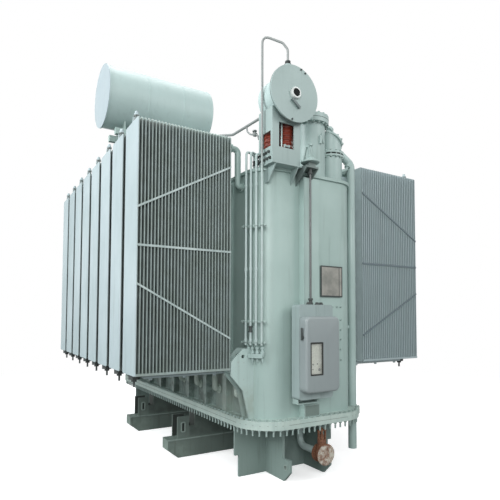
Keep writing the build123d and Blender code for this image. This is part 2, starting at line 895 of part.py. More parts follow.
# Pressure relief: a flanged pot on the cover, and the pipe from it down past the tank's corner.
pot_y = near_wall + pot_inset
pot = disc(pot_x, pot_y, cover_top, pot_radius, pot_height)
pot += disc(pot_x, pot_y, cover_top + pot_height, pot_flange_radius, pot_flange_thickness)
save("relief_pot", pot)
relief = pipe([(relief_x, relief_y, relief_bottom),
               (relief_x, relief_y, cover_top + relief_shoulder_rise),
               (relief_knee_x, near_wall + relief_knee_inset, cover_top + relief_knee_rise),
               (pot_x, pot_y, cover_top + pot_entry_rise)], relief_radius, relief_bend)
clamp_reach = math.hypot(relief_x - corner_x, relief_y - corner_y)
clamp_turn = math.degrees(math.atan2(relief_y - corner_y, relief_x - corner_x))
relief_clamp = (Pos(corner_x, corner_y, relief_clamp_level) * Rot(0, 0, clamp_turn)
                * Box(clamp_reach, relief_clamp_width, relief_clamp_height,
                      align=(Align.MIN, Align.CENTER, Align.MIN)))
save("relief_pipe", relief - pot + (relief_clamp - walls))


# Thin pipes down the near left corner, joined by their clamps: three start on the cover,
# and the breather pipe comes from the cap of the tap changer conservator.
def corner_point(angle, offset):
    reach = tank_corner_radius + offset
    turn = math.radians(angle)
    return (-corner_x + reach * math.cos(turn), corner_y + reach * math.sin(turn))


def corner_bar(level, turn, depth, width, height):
    """Bar that stands out from the rounded corner of the tank at one angle."""
    bar = Box(depth, width, height, align=(Align.MIN, Align.CENTER, Align.MIN))
    return Pos(-corner_x, corner_y, level) * Rot(0, 0, turn) * bar - walls


runs = []
for index in range(thin_count):
    x, y = corner_point(thin_first_angle + index * thin_angle_step, thin_offset)
    foot_x = thin_foot_x + index * thin_foot_pitch
    foot_y = near_wall + thin_foot_inset
    runs.append(mitred_pipe([(x, y, thin_bottom), (x, y, thin_top), (foot_x, foot_y, thin_top),
                             (foot_x, foot_y, cover_top)], thin_radius, thin_sides))
x, y = corner_point(thin_first_angle + thin_count * thin_angle_step, thin_offset)
runs.append(mitred_pipe([(cap_x, cap_y, cap_z), (cap_x, cap_y, cover_top + breather_low_rise),
                         (x, y, cover_top + breather_high_rise), (x, y, thin_bottom)],
                        thin_radius, thin_sides))
clamp_start = thin_first_angle - clamp_margin_angle
clamp_sweep = thin_count * thin_angle_step + 2 * clamp_margin_angle
clamp_line = CenterArc((-corner_x, corner_y), tank_corner_radius + thin_offset, clamp_start,
                       clamp_sweep)
pipes = runs[0] + runs[1:]
for level in clamp_levels:
    pipes += Pos(0, 0, level) * extrude(SlotArc(clamp_line, clamp_thickness), clamp_height)
    pipes += corner_bar(level, clamp_start + clamp_sweep / 2, tank_corner_radius + thin_offset,
                        clamp_foot_width, clamp_height)
save("corner_pipes", pipes)
save("sampling_box", corner_bar(thin_bottom - box_height, box_angle, tank_corner_radius + box_reach,
                                box_width, box_height))

# Collecting pipe between the two conservators, with a branch that ends in a valve.
collect_low_y = near_wall + collect_low_inset
collect_high_y = drum_back - overrun
collect = mitred_pipe([(collect_x, collect_high_y, collect_start_z),
                       (collect_x, collect_low_y, collect_low_z),
                       (collect_x, axis_y, cover_top + collect_end_rise)],
                      collect_radius, thin_sides)
branch_y = near_wall + branch_inset
branch_end = (collect_x, branch_y - branch_reach, branch_end_z)
branch_valve = (collect_x, branch_y - branch_reach / 2, (branch_low_z + branch_end_z) / 2)
collect += mitred_pipe([(collect_x, branch_y, (collect_start_z + collect_low_z) / 2),
                        (collect_x, branch_y, branch_low_z), branch_end],
                       branch_radius, thin_sides)
collect += rod(branch_valve, branch_end, branch_valve_radius)
save("collecting_pipe", collect - drum - conservator)


# Jacking brackets: two shaped plates with a band between them, on each long wall near its ends.
def jacking_bracket(y):
    top = jack_bottom + jack_height
    inner = corner_x
    crown = side_wall + jack_crown
    outer = side_wall + jack_reach
    foot = side_wall + jack_gusset_foot
    outline = [(inner, flange_top), (foot, flange_top), (crown, jack_bottom),
               (outer, jack_bottom + jack_waist), (outer, top - jack_shoulder), (crown, top),
               (inner, top)]
    shape = block((inner + outer) / 2, y, jack_bottom + jack_band_level, outer - inner,
                  jack_width, jack_band_height)
    for side in (-1, 1):
        plate = across(outline, y + side * (jack_width - jack_plate) / 2, jack_plate)
        for hole in (0, 1):
            hole_x = crown - hole * jack_hole_pitch
            hole_z = top - jack_hole_drop
            plate -= rod((hole_x, y - jack_width, hole_z), (hole_x, y + jack_width, hole_z),
                         jack_hole_radius)
        shape += plate
    return shape - walls


near_left = mirrored(jacking_bracket(near_wall + jack_end_inset))
near_right = jacking_bracket(near_wall + jack_right_inset)
far_right = jacking_bracket(far_wall - jack_end_inset)
save("jacking_brackets", together([near_left, near_right, far_right, mirrored(far_right)]))

# Drain pipe from the bottom plate, with its valve and flange below the near end.
drain_y = near_wall + drain_drop_inset
drain_face = near_wall - drain_face_reach
body_back = drain_face + drain_flange_thickness + drain_body_length
save("drain_pipe", pipe([(drain_x, body_back, drain_height), (drain_x, drain_y, drain_height),
                         (drain_x, drain_y, flange_height)], drain_radius, drain_bend))
body_front = drain_face + drain_flange_thickness
valve = rod((drain_x, body_back, drain_height), (drain_x, body_front, drain_height),
            drain_body_radius)
valve += rod((drain_x, body_front, drain_height), (drain_x, drain_face, drain_height),
             drain_flange_radius)
valve += disc(drain_x, body_front + drain_body_length / 2, drain_height, drain_stem_radius,
              drain_stem_height)
save("drain_valve", valve)

# Data plate on the near wall, on four studs.
plate_middle = plate_left + plate_width / 2
plate = block(plate_middle, near_wall - plate_stud_length - plate_thickness / 2, plate_bottom,
              plate_width, plate_thickness, plate_height)
for side in (-1, 1):
    stud_x = plate_middle + side * (plate_width / 2 - plate_stud_inset)
    for stud_z in (plate_bottom + plate_stud_inset, plate_bottom + plate_height - plate_stud_inset):
        plate += rod((stud_x, near_wall - plate_stud_length, stud_z), (stud_x, near_wall, stud_z),
                     plate_stud_radius)
save("data_plate", plate)
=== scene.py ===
import math

import bmesh
import bpy
from mathutils import Matrix, Vector


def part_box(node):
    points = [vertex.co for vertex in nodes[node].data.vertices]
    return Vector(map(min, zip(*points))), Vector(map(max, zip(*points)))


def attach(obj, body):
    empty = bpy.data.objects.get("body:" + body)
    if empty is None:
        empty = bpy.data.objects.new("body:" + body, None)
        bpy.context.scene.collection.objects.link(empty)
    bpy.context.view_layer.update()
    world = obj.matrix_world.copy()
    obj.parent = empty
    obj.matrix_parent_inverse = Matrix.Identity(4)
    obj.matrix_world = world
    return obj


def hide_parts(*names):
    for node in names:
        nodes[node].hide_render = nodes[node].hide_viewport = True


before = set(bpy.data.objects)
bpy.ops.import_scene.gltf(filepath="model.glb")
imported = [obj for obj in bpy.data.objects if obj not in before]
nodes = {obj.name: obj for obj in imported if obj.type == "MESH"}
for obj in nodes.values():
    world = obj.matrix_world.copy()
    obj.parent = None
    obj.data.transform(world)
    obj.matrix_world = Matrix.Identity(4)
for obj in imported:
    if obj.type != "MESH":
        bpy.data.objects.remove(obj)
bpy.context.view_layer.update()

# Tank, bottom plate and cover: plates of steel welded into an upright housing, with a bolted
# flange low down. All of it is sprayed with grey-green enamel that rain and dust have streaked;
# the side walls under the radiators carry painted shade, mottled like dirt.
# Points in this file are measured from the middle of the tank, in metres.
tank_low, tank_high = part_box("tank_body")
middle_y = (tank_low.y + tank_high.y) / 2
near_wall = -3.055
side_wall = 0.92
corner_radius = 0.39
flange_top = 0.944
flange_under = 0.824
cover_top = 4.51
TANK_GREEN = (0.36, 0.475, 0.445, 1)
TANK_SHADE = (0.27, 0.37, 0.345, 1)
RAIN_DIRT = (0.12, 0.155, 0.14, 1)
RUST_BROWN = (0.16, 0.06, 0.025, 1)


def at(x, y, z):
    """A point measured from the middle of the tank, in the frame of the whole transformer."""
    return Vector((x, middle_y + y, z))


def linked_node(tree, kind, inputs=None, **settings):
    """Adds one node, sets its settings, and its inputs by name or number."""
    made = tree.nodes.new(kind)
    for key, value in settings.items():
        setattr(made, key, value)
    for key, value in (inputs or {}).items():
        if isinstance(value, bpy.types.NodeSocket):
            tree.links.new(value, made.inputs[key])
        else:
            made.inputs[key].default_value = value
    return made


def noise(tree, coords, scale, detail=3.0, roughness=0.55, stretch=None):
    """Noise over the piece, drawn out along one axis where stretch says so."""
    if stretch is not None:
        coords = linked_node(tree, "ShaderNodeMapping",
                             {"Vector": coords, "Scale": stretch}).outputs["Vector"]
    return linked_node(tree, "ShaderNodeTexNoise",
                       {"Vector": coords, "Scale": scale, "Detail": detail,
                        "Roughness": roughness}).outputs["Fac"]


def remap(tree, value, low, high, to_low, to_high):
    return linked_node(tree, "ShaderNodeMapRange",
                       {"Value": value, "From Min": low, "From Max": high,
                        "To Min": to_low, "To Max": to_high}).outputs["Result"]


def blend_colour(tree, share, first, second):
    mixed = linked_node(tree, "ShaderNodeMix", {0: share, 6: first, 7: second},
                        data_type="RGBA")
    return mixed.outputs[2]


def new_finish(name):
    """An empty material with its output, its shader and the piece's own coordinates."""
    material = bpy.data.materials.new(name)
    material.use_nodes = True
    tree = material.node_tree
    tree.nodes.clear()
    out = linked_node(tree, "ShaderNodeOutputMaterial")
    shader = linked_node(tree, "ShaderNodeBsdfPrincipled")
    tree.links.new(shader.outputs["BSDF"], out.inputs["Surface"])
    coords = linked_node(tree, "ShaderNodeTexCoord").outputs["Object"]
    return material, tree, shader, coords


def sum_of(tree, operation, *values):
    """One step of arithmetic in a node tree."""
    return linked_node(tree, "ShaderNodeMath", dict(enumerate(values)),
                       operation=operation).outputs[0]


def product(tree, first, second):
    return sum_of(tree, "MULTIPLY", first, second)


def zone_share(tree, coords, limits, soft):
    """1 inside a box of the piece's own coordinates and 0 outside; side counts X both ways."""
    parts = linked_node(tree, "ShaderNodeSeparateXYZ", {"Vector": coords}).outputs
    share = 1.0
    for axis, (low, high) in limits.items():
        value = parts["X" if axis == "side" else axis]
        if axis == "side":
            value = sum_of(tree, "ABSOLUTE", value)
        share = product(tree, share, remap(tree, value, low - soft, low + soft, 0.0, 1.0))
        share = product(tree, share, remap(tree, value, high - soft, high + soft, 1.0, 0.0))
    return share


def enamel(name, colour, shade, dirt=RAIN_DIRT, streaks=0.35, specks=0.0, roughness=0.42,
           sheen_height=0.0006, zones=()):
    """Enamel on steel: cloudy tone, zones, rain streaks, rust specks and fine orange peel."""
    material, tree, shader, coords = new_finish(name)
    clouds = noise(tree, coords, 0.9, 4.0)
    tone = remap(tree, clouds, 0.38, 0.66, 0.0, 0.55)
    toned = blend_colour(tree, tone, colour, shade)
    for limits, zone_colour, strength, patchy, soft in zones:
        share = zone_share(tree, coords, limits, soft)
        patches = noise(tree, coords, 7.0, 4.0, 0.6)
        share = product(tree, share, remap(tree, patches, 0.4, 0.6, strength * (1 - patchy),
                                           strength))
        toned = blend_colour(tree, share, toned, zone_colour)
    runs = noise(tree, coords, 2.6, 4.0, 0.6, stretch=(5.0, 5.0, 0.35))
    toned = blend_colour(tree, remap(tree, runs, 0.56, 0.78, 0.0, streaks), toned, dirt)
    if specks:
        spots = noise(tree, coords, 21.0, 2.0, 0.6)
        toned = blend_colour(tree, remap(tree, spots, 0.70, 0.76, 0.0, specks), toned,
                             RUST_BROWN)
    tree.links.new(toned, shader.inputs["Base Color"])
    tree.links.new(remap(tree, clouds, 0.3, 0.7, roughness - 0.05, roughness + 0.12),
                   shader.inputs["Roughness"])
    peel = noise(tree, coords, 55.0, 2.0)
    bump = linked_node(tree, "ShaderNodeBump",
                       {"Height": peel, "Strength": 0.35, "Distance": sheen_height})
    tree.links.new(bump.outputs["Normal"], shader.inputs["Normal"])
    return material


def coat_node(name, material):
    """Gives a CAD node its finish."""
    slots = nodes[name].data.materials
    slots.clear()
    slots.append(material)


WASHED_GREEN = (0.46, 0.555, 0.51, 1)
UNDER_RADIATOR_SHADE_AND_DIRT = (0.075, 0.095, 0.08, 1)
CORK_LINE = (0.085, 0.105, 0.095, 1)
tank_paint = enamel("tank_enamel", TANK_GREEN, TANK_SHADE, streaks=0.28, zones=(
    ({"Z": (0.80, 0.946)}, WASHED_GREEN, 0.85, 0.5, 0.002),
    # Painted shade with dirt mottled in: the side walls under the radiators are darkened as if in
    # their shadow, and their nearest part gets a lighter painted shade.
    ({"side": (0.905, 2.0), "Z": (0.95, 1.75)}, UNDER_RADIATOR_SHADE_AND_DIRT, 0.75, 0.6, 0.012),
    ({"side": (0.86, 2.0), "Y": (-2.7, -1.6), "Z": (0.93, 1.8)}, (0.3, 0.36, 0.32, 1), 0.7, 0.5,
     0.04),
    ({"Y": (3.352, 3.4), "Z": (0.8825, 0.8865)}, CORK_LINE, 1.0, 0.0, 0.0003)))
for name in ("tank_body", "bottom_plate", "tank_cover", "near_wall_channel", "wall_channels"):
    coat_node(name, tank_paint)

# Flange bolts: a row of long hexagon bolts right round the tank's flange, heads up and
# nuts below, painted over with the tank and left out where the relief pipe passes.
flange_bolt_line = 0.128
flange_bolt_pitch = 0.098


def tree_input(tree, name, kind, value):
    """Declares a named input of a Geometry Nodes tree."""
    socket = tree.interface.new_socket(name, in_out="INPUT", socket_type=kind)
    socket.default_value = value


def start_tree(name, floats, vectors=()):
    """A Geometry Nodes tree with its named sizes, its place, and its two group nodes."""
    tree = bpy.data.node_groups.new(name, "GeometryNodeTree")
    tree.interface.new_socket("Geometry", in_out="OUTPUT", socket_type="NodeSocketGeometry")
    for key, value in floats:
        tree_input(tree, key, "NodeSocketFloat", value)
    for key in (*vectors, "Place"):
        tree_input(tree, key, "NodeSocketVector", (0, 0, 0))
    tree.interface.new_socket("Finish", in_out="INPUT", socket_type="NodeSocketMaterial")
    entry = tree.nodes.new("NodeGroupInput")
    leave = tree.nodes.new("NodeGroupOutput")
    return tree, entry, leave


def end_tree(tree, entry, leave, geometry, **turn):
    """Moves the repeats to their place, realizes them and gives them their finish."""
    moved = linked_node(tree, "GeometryNodeTransform",
                        {"Geometry": geometry, "Translation": entry.outputs["Place"], **turn})
    real = linked_node(tree, "GeometryNodeRealizeInstances",
                       {"Geometry": moved.outputs["Geometry"]})
    coated = linked_node(tree, "GeometryNodeSetMaterial",
                         {"Geometry": real.outputs["Geometry"],
                          "Material": entry.outputs["Finish"]})
    tree.links.new(coated.outputs["Geometry"], leave.inputs["Geometry"])


def copies(tree, points, instance, **choice):
    """One copy of a part of the tree at every point."""
    row = linked_node(tree, "GeometryNodeInstanceOnPoints",
                      {"Points": points, "Instance": instance, **choice})
    return row.outputs["Instances"]


def joined(tree, parts):
    both = tree.nodes.new("GeometryNodeJoinGeometry")
    for part in parts:
        tree.links.new(part, both.inputs[0])
    return both.outputs["Geometry"]


def new_piece(name, mesh, material):
    """Puts a finished mesh in the scene, smooth but for its real edges."""
    if not mesh.materials:
        mesh.materials.append(material)
    for face in mesh.polygons:
        face.use_smooth = True
    mesh.set_sharp_from_angle(angle=math.radians(32))
    piece = bpy.data.objects.new(name, mesh)
    bpy.context.scene.collection.objects.link(piece)
    return piece


def grown(name, tree, material, **sizes):
    """Runs a Geometry Nodes tree once and keeps its result as a plain mesh."""
    carrier = bpy.data.objects.new(name + "_seed", bpy.data.meshes.new(name + "_seed"))
    bpy.context.scene.collection.objects.link(carrier)
    modifier = carrier.modifiers.new("make", "NODES")
    modifier.node_group = tree
    values = {key.replace("_", " "): value for key, value in sizes.items()}
    for item in tree.interface.items_tree:
        if item.in_out == "INPUT" and item.name.lower() in values:
            modifier[item.identifier] = values[item.name.lower()]
        elif item.in_out == "INPUT" and item.name == "Finish":
            modifier[item.identifier] = material
    carrier.update_tag()
    seen = carrier.evaluated_get(bpy.context.evaluated_depsgraph_get())
    mesh = bpy.data.meshes.new_from_object(seen)
    mesh.name = name
    bpy.data.objects.remove(carrier)
    return new_piece(name, mesh, material)


def nut_column(tree, parts, sides, width, low, height):
    """Adds a prism on Z to the parts: width over its corners, from low up by height."""
    solid = linked_node(tree, "GeometryNodeMeshCylinder",
                        {"Vertices": sides, "Radius": product(tree, width, 0.5), "Depth": height})
    offset = linked_node(tree, "ShaderNodeCombineXYZ",
                         {"Z": sum_of(tree, "MULTIPLY_ADD", height, 0.5, low)})
    moved = linked_node(tree, "GeometryNodeTransform",
                        {"Geometry": solid.outputs["Mesh"],
                         "Translation": offset.outputs["Vector"]})
    parts.append(moved.outputs["Geometry"])


def through_bolt(tree, entry):
    """One bolt on Z: head on the upper face, nut under the lower face, shank between."""
    parts = []
    width, height, shank, upper, lower, end = [entry.outputs[key] for key, _ in BOLT_SIZES]
    nut_column(tree, parts, 6, width, upper, height)
    nut_column(tree, parts, 6, width, sum_of(tree, "SUBTRACT", lower, height), height)
    nut_column(tree, parts, 8, shank, end, sum_of(tree, "SUBTRACT", upper, end))
    return joined(tree, parts)


BOLT_SIZES = (("Head width", 0.05), ("Head height", 0.022), ("Shank width", 0.026),
              ("Upper face", 0.0), ("Lower face", -0.1), ("Shank end", -0.16))


def flange_bolt_tree():
    tree, entry, leave = start_tree("flange_bolt_row", (
        ("Line width", 2.0), ("Line length", 6.0), ("Corner radius", 0.5), ("Pitch", 0.1),
        ("Gap radius", 0.1)) + BOLT_SIZES, ("Gap place",))
    line = linked_node(tree, "GeometryNodeCurvePrimitiveQuadrilateral",
                       {"Width": entry.outputs["Line width"],
                        "Height": entry.outputs["Line length"]})
    round_line = linked_node(tree, "GeometryNodeFilletCurve",
                             {"Curve": line.outputs["Curve"],
                              "Radius": entry.outputs["Corner radius"], "Count": 10}, mode="POLY")
    spaced = linked_node(tree, "GeometryNodeResampleCurve",
                         {"Curve": round_line.outputs["Curve"],
                          "Length": entry.outputs["Pitch"]}, mode="LENGTH")
    here = tree.nodes.new("GeometryNodeInputPosition")
    reach = linked_node(tree, "ShaderNodeVectorMath",
                        {0: here.outputs["Position"], 1: entry.outputs["Gap place"]},
                        operation="DISTANCE")
    clear = sum_of(tree, "GREATER_THAN", reach.outputs["Value"], entry.outputs["Gap radius"])
    end_tree(tree, entry, leave, copies(tree, spaced.outputs["Curve"], through_bolt(tree, entry),
                                        Selection=clear))
    return tree


def fitted(piece, body="transformer", stands_for=()):
    """Gives a piece its body, and hides the CAD nodes that it takes the place of."""
    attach(piece, body)
    if stands_for:
        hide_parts(*stands_for)


fitting_paint = enamel("bolt_enamel", (0.33, 0.43, 0.405, 1), (0.2, 0.26, 0.24, 1),
                       streaks=0.5, specks=0.5, roughness=0.5)
relief_pipe_place = (1.005, -2.82, 0)
fitted(grown(
    "flange_bolts", flange_bolt_tree(), fitting_paint,
    line_width=2 * (side_wall + flange_bolt_line), line_length=2 * (flange_bolt_line - near_wall),
    corner_radius=corner_radius + flange_bolt_line, pitch=flange_bolt_pitch,
    gap_place=relief_pipe_place, gap_radius=0.1, place=at(0, 0, 0),
    head_width=0.046, head_height=0.02, shank_width=0.026, upper_face=flange_top,
    lower_face=flange_under, shank_end=flange_under - 0.085))

# Rings of bolts on the round flanges of turrets, bushings, pots and the tap changer head:
# plated hexagon bolts, painted over, through both halves of each flange.
turret_place = (0.262, -2.70)
angled_place = (0.70, -2.67)
head_place = (-0.205, -2.60)
pot_place = (0.80, -1.97)
bushing_places = ((-0.175, -2.12), (0.143, -2.24))
bushing_foot = 5.17


def bolt_ring_tree():
    tree, entry, leave = start_tree("bolt_ring", (
        ("Ring radius", 0.2), ("Count", 12.0)) + BOLT_SIZES, ("Turn",))
    ring = linked_node(tree, "GeometryNodeMeshCircle", {"Radius": entry.outputs["Ring radius"],
                                                        "Vertices": entry.outputs["Count"]})
    end_tree(tree, entry, leave, copies(tree, ring.outputs["Mesh"], through_bolt(tree, entry)),
             Rotation=entry.outputs["Turn"])
    return tree


ring_tree = bolt_ring_tree()


def bolt_ring(name, place, radius, count, upper, lower, head=0.034, height=0.016, proud=0.03,
              turn=(0, 0, 0), material=fitting_paint):
    """A ring of bolts through a flange; upper and lower are its faces from place."""
    ring = grown(name, ring_tree, material, ring_radius=radius, count=float(count),
                 head_width=head, head_height=height, shank_width=head * 0.55,
                 upper_face=upper, lower_face=lower, shank_end=lower - proud,
                 place=at(*place), turn=turn)
    fitted(ring)


bolt_ring("turret_bolts", (*turret_place, 0), 0.258, 18, 5.554, 5.424, head=0.04, height=0.02)
bolt_ring("tap_head_bolts", (*head_place, 0), 0.198, 16, 4.706, 4.67, head=0.024, height=0.014,
          proud=0.015)
bolt_ring("angled_lower_bolts", (*angled_place, 0), 0.196, 14, 5.067, 4.985, head=0.034,
          height=0.02, proud=0.02)
bolt_ring("relief_pot_bolts", (*pot_place, 0), 0.158, 10, 5.534, 5.494, head=0.028,
          height=0.014, proud=0.02)
for number, (x, y) in enumerate(bushing_places):
    bolt_ring(f"bushing_flange_bolts_{number + 1}", (x, y, 0), 0.135, 8, bushing_foot,
              bushing_foot - 0.03, head=0.024, height=0.012, proud=0.015)

# Radiators: in each block thirty pressed panels are welded on to two round headers, with a
# collector bar below. They are dipped in the tank's enamel, which looks bluer on the panels.
# Painted shade darkens the left bank's panels, all but their outermost face, deeper in the gaps,
# and the near edges of the right bank; painted light pales the right bank's gaps.
block_count = 8
block_pitch = 0.686
radiator_middles = [-2.55 + block_pitch * index for index in range(block_count)]
header_high = 4.854
header_low = 1.694
collector_low = 1.574
collector_high = 1.633
stub_x = 1.17
fin_count = 30
fin_pitch = 0.0455
fin_thick = 0.014
fin_width = 0.54
fin_low = 1.634
fin_high = 4.914
fin_corner = 0.035
fins_inner = 1.26
fins_outer = 2.5935
RADIATOR_BLUE = (0.385, 0.47, 0.49, 1)
RADIATOR_SHADE = (0.29, 0.365, 0.375, 1)
LEFT_PANEL_SHADE = (0.215, 0.265, 0.24, 1)
LEFT_GAP_SHADE = (0.14, 0.175, 0.16, 1)
RIGHT_EDGE_SHADE = (0.31, 0.38, 0.39, 1)
RIGHT_GAP_LIGHT = (0.52, 0.62, 0.63, 1)
radiator_paint = enamel("radiator_enamel", RADIATOR_BLUE, RADIATOR_SHADE, streaks=0.3,
                        roughness=0.45, zones=(
    # Painted shade and light: the left bank darker than its outermost face, which keeps the pale
    # tone of a face turned to the lamp, and darker still in its gaps; the right bank's near edges
    # darker and its gaps lighter.
    ({"X": (-2.586, 0.0), "Z": (1.6, 4.908)}, LEFT_PANEL_SHADE, 0.9, 0.3, 0.001),
    ({"X": (-2.586, 0.0), "Y": (-2.655, 2.655), "Z": (1.64, 4.908)}, LEFT_GAP_SHADE, 0.5, 0.3, 0.004),
    ({"X": (-2.586, 0.0), "Y": (-3.0, -2.62), "Z": (4.875, 5.2)}, WASHED_GREEN, 0.8, 0.2, 0.012),
    ({"X": (1.2, 3.0), "Y": (-3.0, -2.655)}, RIGHT_EDGE_SHADE, 0.9, 0.3, 0.004),
    ({"X": (1.2, 2.58), "Y": (-2.655, 2.655)}, RIGHT_GAP_LIGHT, 0.9, 0.3, 0.004)))


def panel_tree():
    """A bank of radiators: panels along X in each block, blocks along Y."""
    tree, entry, leave = start_tree("radiator_panel_bank", (
        ("Panel width", 0.54), ("Panel height", 3.28), ("Panel thickness", 0.014),
        ("Corner radius", 0.03), ("Panel pitch", 0.05), ("Panel count", 30.0),
        ("Block pitch", 0.686), ("Block count", 8.0)))
    outline = linked_node(tree, "GeometryNodeCurvePrimitiveQuadrilateral",
                          {"Width": entry.outputs["Panel width"],
                           "Height": entry.outputs["Panel height"]})
    rounded = linked_node(tree, "GeometryNodeFilletCurve",
                          {"Curve": outline.outputs["Curve"],
                           "Radius": entry.outputs["Corner radius"], "Count": 3}, mode="POLY")
    sheet = linked_node(tree, "GeometryNodeFillCurve", {"Curve": rounded.outputs["Curve"]},
                        mode="NGONS")
    back = linked_node(tree, "GeometryNodeFlipFaces", {"Mesh": sheet.outputs["Mesh"]})
    front = linked_node(tree, "GeometryNodeExtrudeMesh",
                        {"Mesh": sheet.outputs["Mesh"],
                         "Offset Scale": entry.outputs["Panel thickness"], "Individual": False})
    shell = joined(tree, (back.outputs["Mesh"], front.outputs["Mesh"]))
    panel = linked_node(tree, "GeometryNodeMergeByDistance",
                        {"Geometry": shell, "Distance": 0.0005})
    upright = linked_node(tree, "GeometryNodeTransform",
                          {"Geometry": panel.outputs["Geometry"],
                           "Rotation": (math.radians(90), 0, math.radians(90))})
    across = linked_node(tree, "ShaderNodeCombineXYZ", {"X": entry.outputs["Panel pitch"]})
    along = linked_node(tree, "ShaderNodeCombineXYZ", {"Y": entry.outputs["Block pitch"]})
    panels = linked_node(tree, "GeometryNodeMeshLine", {"Count": entry.outputs["Panel count"],
                                                        "Offset": across.outputs["Vector"]})
    block = copies(tree, panels.outputs["Mesh"], upright.outputs["Geometry"])
    blocks = linked_node(tree, "GeometryNodeMeshLine", {"Count": entry.outputs["Block count"],
                                                        "Offset": along.outputs["Vector"]})
    end_tree(tree, entry, leave, copies(tree, blocks.outputs["Mesh"], block))
    return tree


def piece_from(bm, name, material):
    """Closes a mesh that was built by hand, with its faces outwards."""
    bmesh.ops.recalc_face_normals(bm, faces=bm.faces)
    mesh = bpy.data.meshes.new(name)
    bm.to_mesh(mesh)
    bm.free()
    return new_piece(name, mesh, material)


def bevelled_block(bm, low, high, bevel, segments=1, tilt=Matrix()):
    """A block between two corners with broken edges, tilted about its middle."""
    low = Vector(low)
    high = Vector(high)
    size = Vector([abs(part) for part in high - low])
    made = bmesh.ops.create_cube(bm, size=1, matrix=Matrix.Translation((low + high) / 2) @ tilt
                                 @ Matrix.Diagonal((*size, 1)))
    edges = {edge for vert in made["verts"] for edge in vert.link_edges}
    bmesh.ops.bevel(bm, geom=list(edges), offset=bevel, segments=segments, profile=0.5,
                    affect="EDGES")


def turn_profile(bm, place, way, profile, sides=28):
    """A turned piece: pairs of radius and distance along its axis.

    An open line gets flat ends, and a line that comes back to its start makes a ring.
    """
    profile = list(profile)
    if profile[0] != profile[-1]:
        if profile[0][0] > 0:
            profile.insert(0, (0, profile[0][1]))
        if profile[-1][0] > 0:
            profile.append((0, profile[-1][1]))
    place = Vector(place)
    way = Vector(way).normalized()
    side = way.orthogonal().normalized()
    up = way.cross(side)
    rings = []
    for radius, distance in profile:
        centre = place + way * distance
        if radius <= 0:
            rings.append([bm.verts.new(centre)])
            continue
        rings.append([bm.verts.new(centre + radius * (math.cos(2 * math.pi * i / sides) * side
                                                      + math.sin(2 * math.pi * i / sides) * up))
                      for i in range(sides)])
    for first, second in zip(rings, rings[1:]):
        for i in range(sides):
            j = (i + 1) % sides
            if len(first) == 1 and len(second) > 1:
                bm.faces.new((first[0], second[j], second[i]))
            elif len(second) == 1 and len(first) > 1:
                bm.faces.new((first[i], first[j], second[0]))
            elif len(first) > 1:
                bm.faces.new((first[i], first[j], second[j], second[i]))


panel_bank = panel_tree()
for side, sign in (("left", -1), ("right", 1)):
    first_x = -fins_outer if sign < 0 else fins_inner
    panels = grown(f"radiator_panels_{side}", panel_bank, radiator_paint,
                   panel_width=fin_width, panel_height=fin_high - fin_low,
                   panel_thickness=fin_thick, corner_radius=fin_corner, panel_pitch=fin_pitch,
                   panel_count=float(fin_count), block_pitch=block_pitch,
                   block_count=float(block_count),
                   place=at(first_x, radiator_middles[0], (fin_high + fin_low) / 2))
    bm = bmesh.new()
    for y in radiator_middles:
        for z in (header_high, header_low):
            turn_profile(bm, at(sign * 1.262, y, z), (sign, 0, 0),
                         ((0.042, 0), (0.042, 1.31)), sides=14)
        turn_profile(bm, at(sign * stub_x, y, header_high), (sign, 0, 0),
                     ((0.04, 0), (0.04, 0.1)), sides=14)
        bevelled_block(bm, at(sign * stub_x, y - 0.055, collector_low),
                       at(sign * 2.4135, y + 0.055, collector_high), 0.01)
        for x, offset in ((2.5435, 0.05), (2.0035, 0)):
            bevelled_block(bm, at(sign * (x - 0.03), y + offset - 0.008, 4.90),
                           at(sign * (x + 0.03), y + offset + 0.008, 5.01), 0.005)
        for x in (1.36, 1.82, 2.3):
            turn_profile(bm, at(sign * x, y, 1.576), (0, 0, -1),
                         ((0.026, 0), (0.026, 0.022), (0.018, 0.03)), sides=6)
    fitted(panels,
           stands_for=[f"radiator_{side}_{index + 1}" for index in range(block_count)])
    fitted(piece_from(bm, f"radiator_headers_{side}", radiator_paint))

# Bracing straps on the outer faces of each bank: flat bars, tacked to every panel, pale on
# the left bank and darkened with painted shade on the right one, and one more along the feet.
strap_paint, tree, shader, coords = new_finish("strap_enamel")
place = linked_node(tree, "ShaderNodeSeparateXYZ", {"Vector": coords}).outputs["X"]
strap_clouds = noise(tree, coords, 6.0, 4.0)
pale = blend_colour(tree, remap(tree, strap_clouds, 0.4, 0.66, 0.0, 1.0), (0.44, 0.52, 0.51, 1),
                    (0.3, 0.37, 0.36, 1))
# Painted shade: the straps go dark from the middle of the tank towards the right bank.
strap_tone_shaded_right = blend_colour(tree, remap(tree, place, -0.2, 0.2, 0.0, 1.0), pale,
                          (0.115, 0.155, 0.17, 1))
tree.links.new(strap_tone_shaded_right, shader.inputs["Base Color"])
tree.links.new(remap(tree, strap_clouds, 0.3, 0.7, 0.4, 0.6), shader.inputs["Roughness"])
strap_middle = (fin_low + fin_high) / 2


def run_bar(bm, loops):
    """A solid bar through loops of equal count, closed at both ends."""
    rings = [[bm.verts.new(point) for point in loop] for loop in loops]
    for first, second in zip(rings, rings[1:]):
        for i in range(len(first)):
            j = (i + 1) % len(first)
            bm.faces.new((first[i], first[j], second[j], second[i]))
    bm.faces.new(rings[0])
    bm.faces.new(rings[-1])


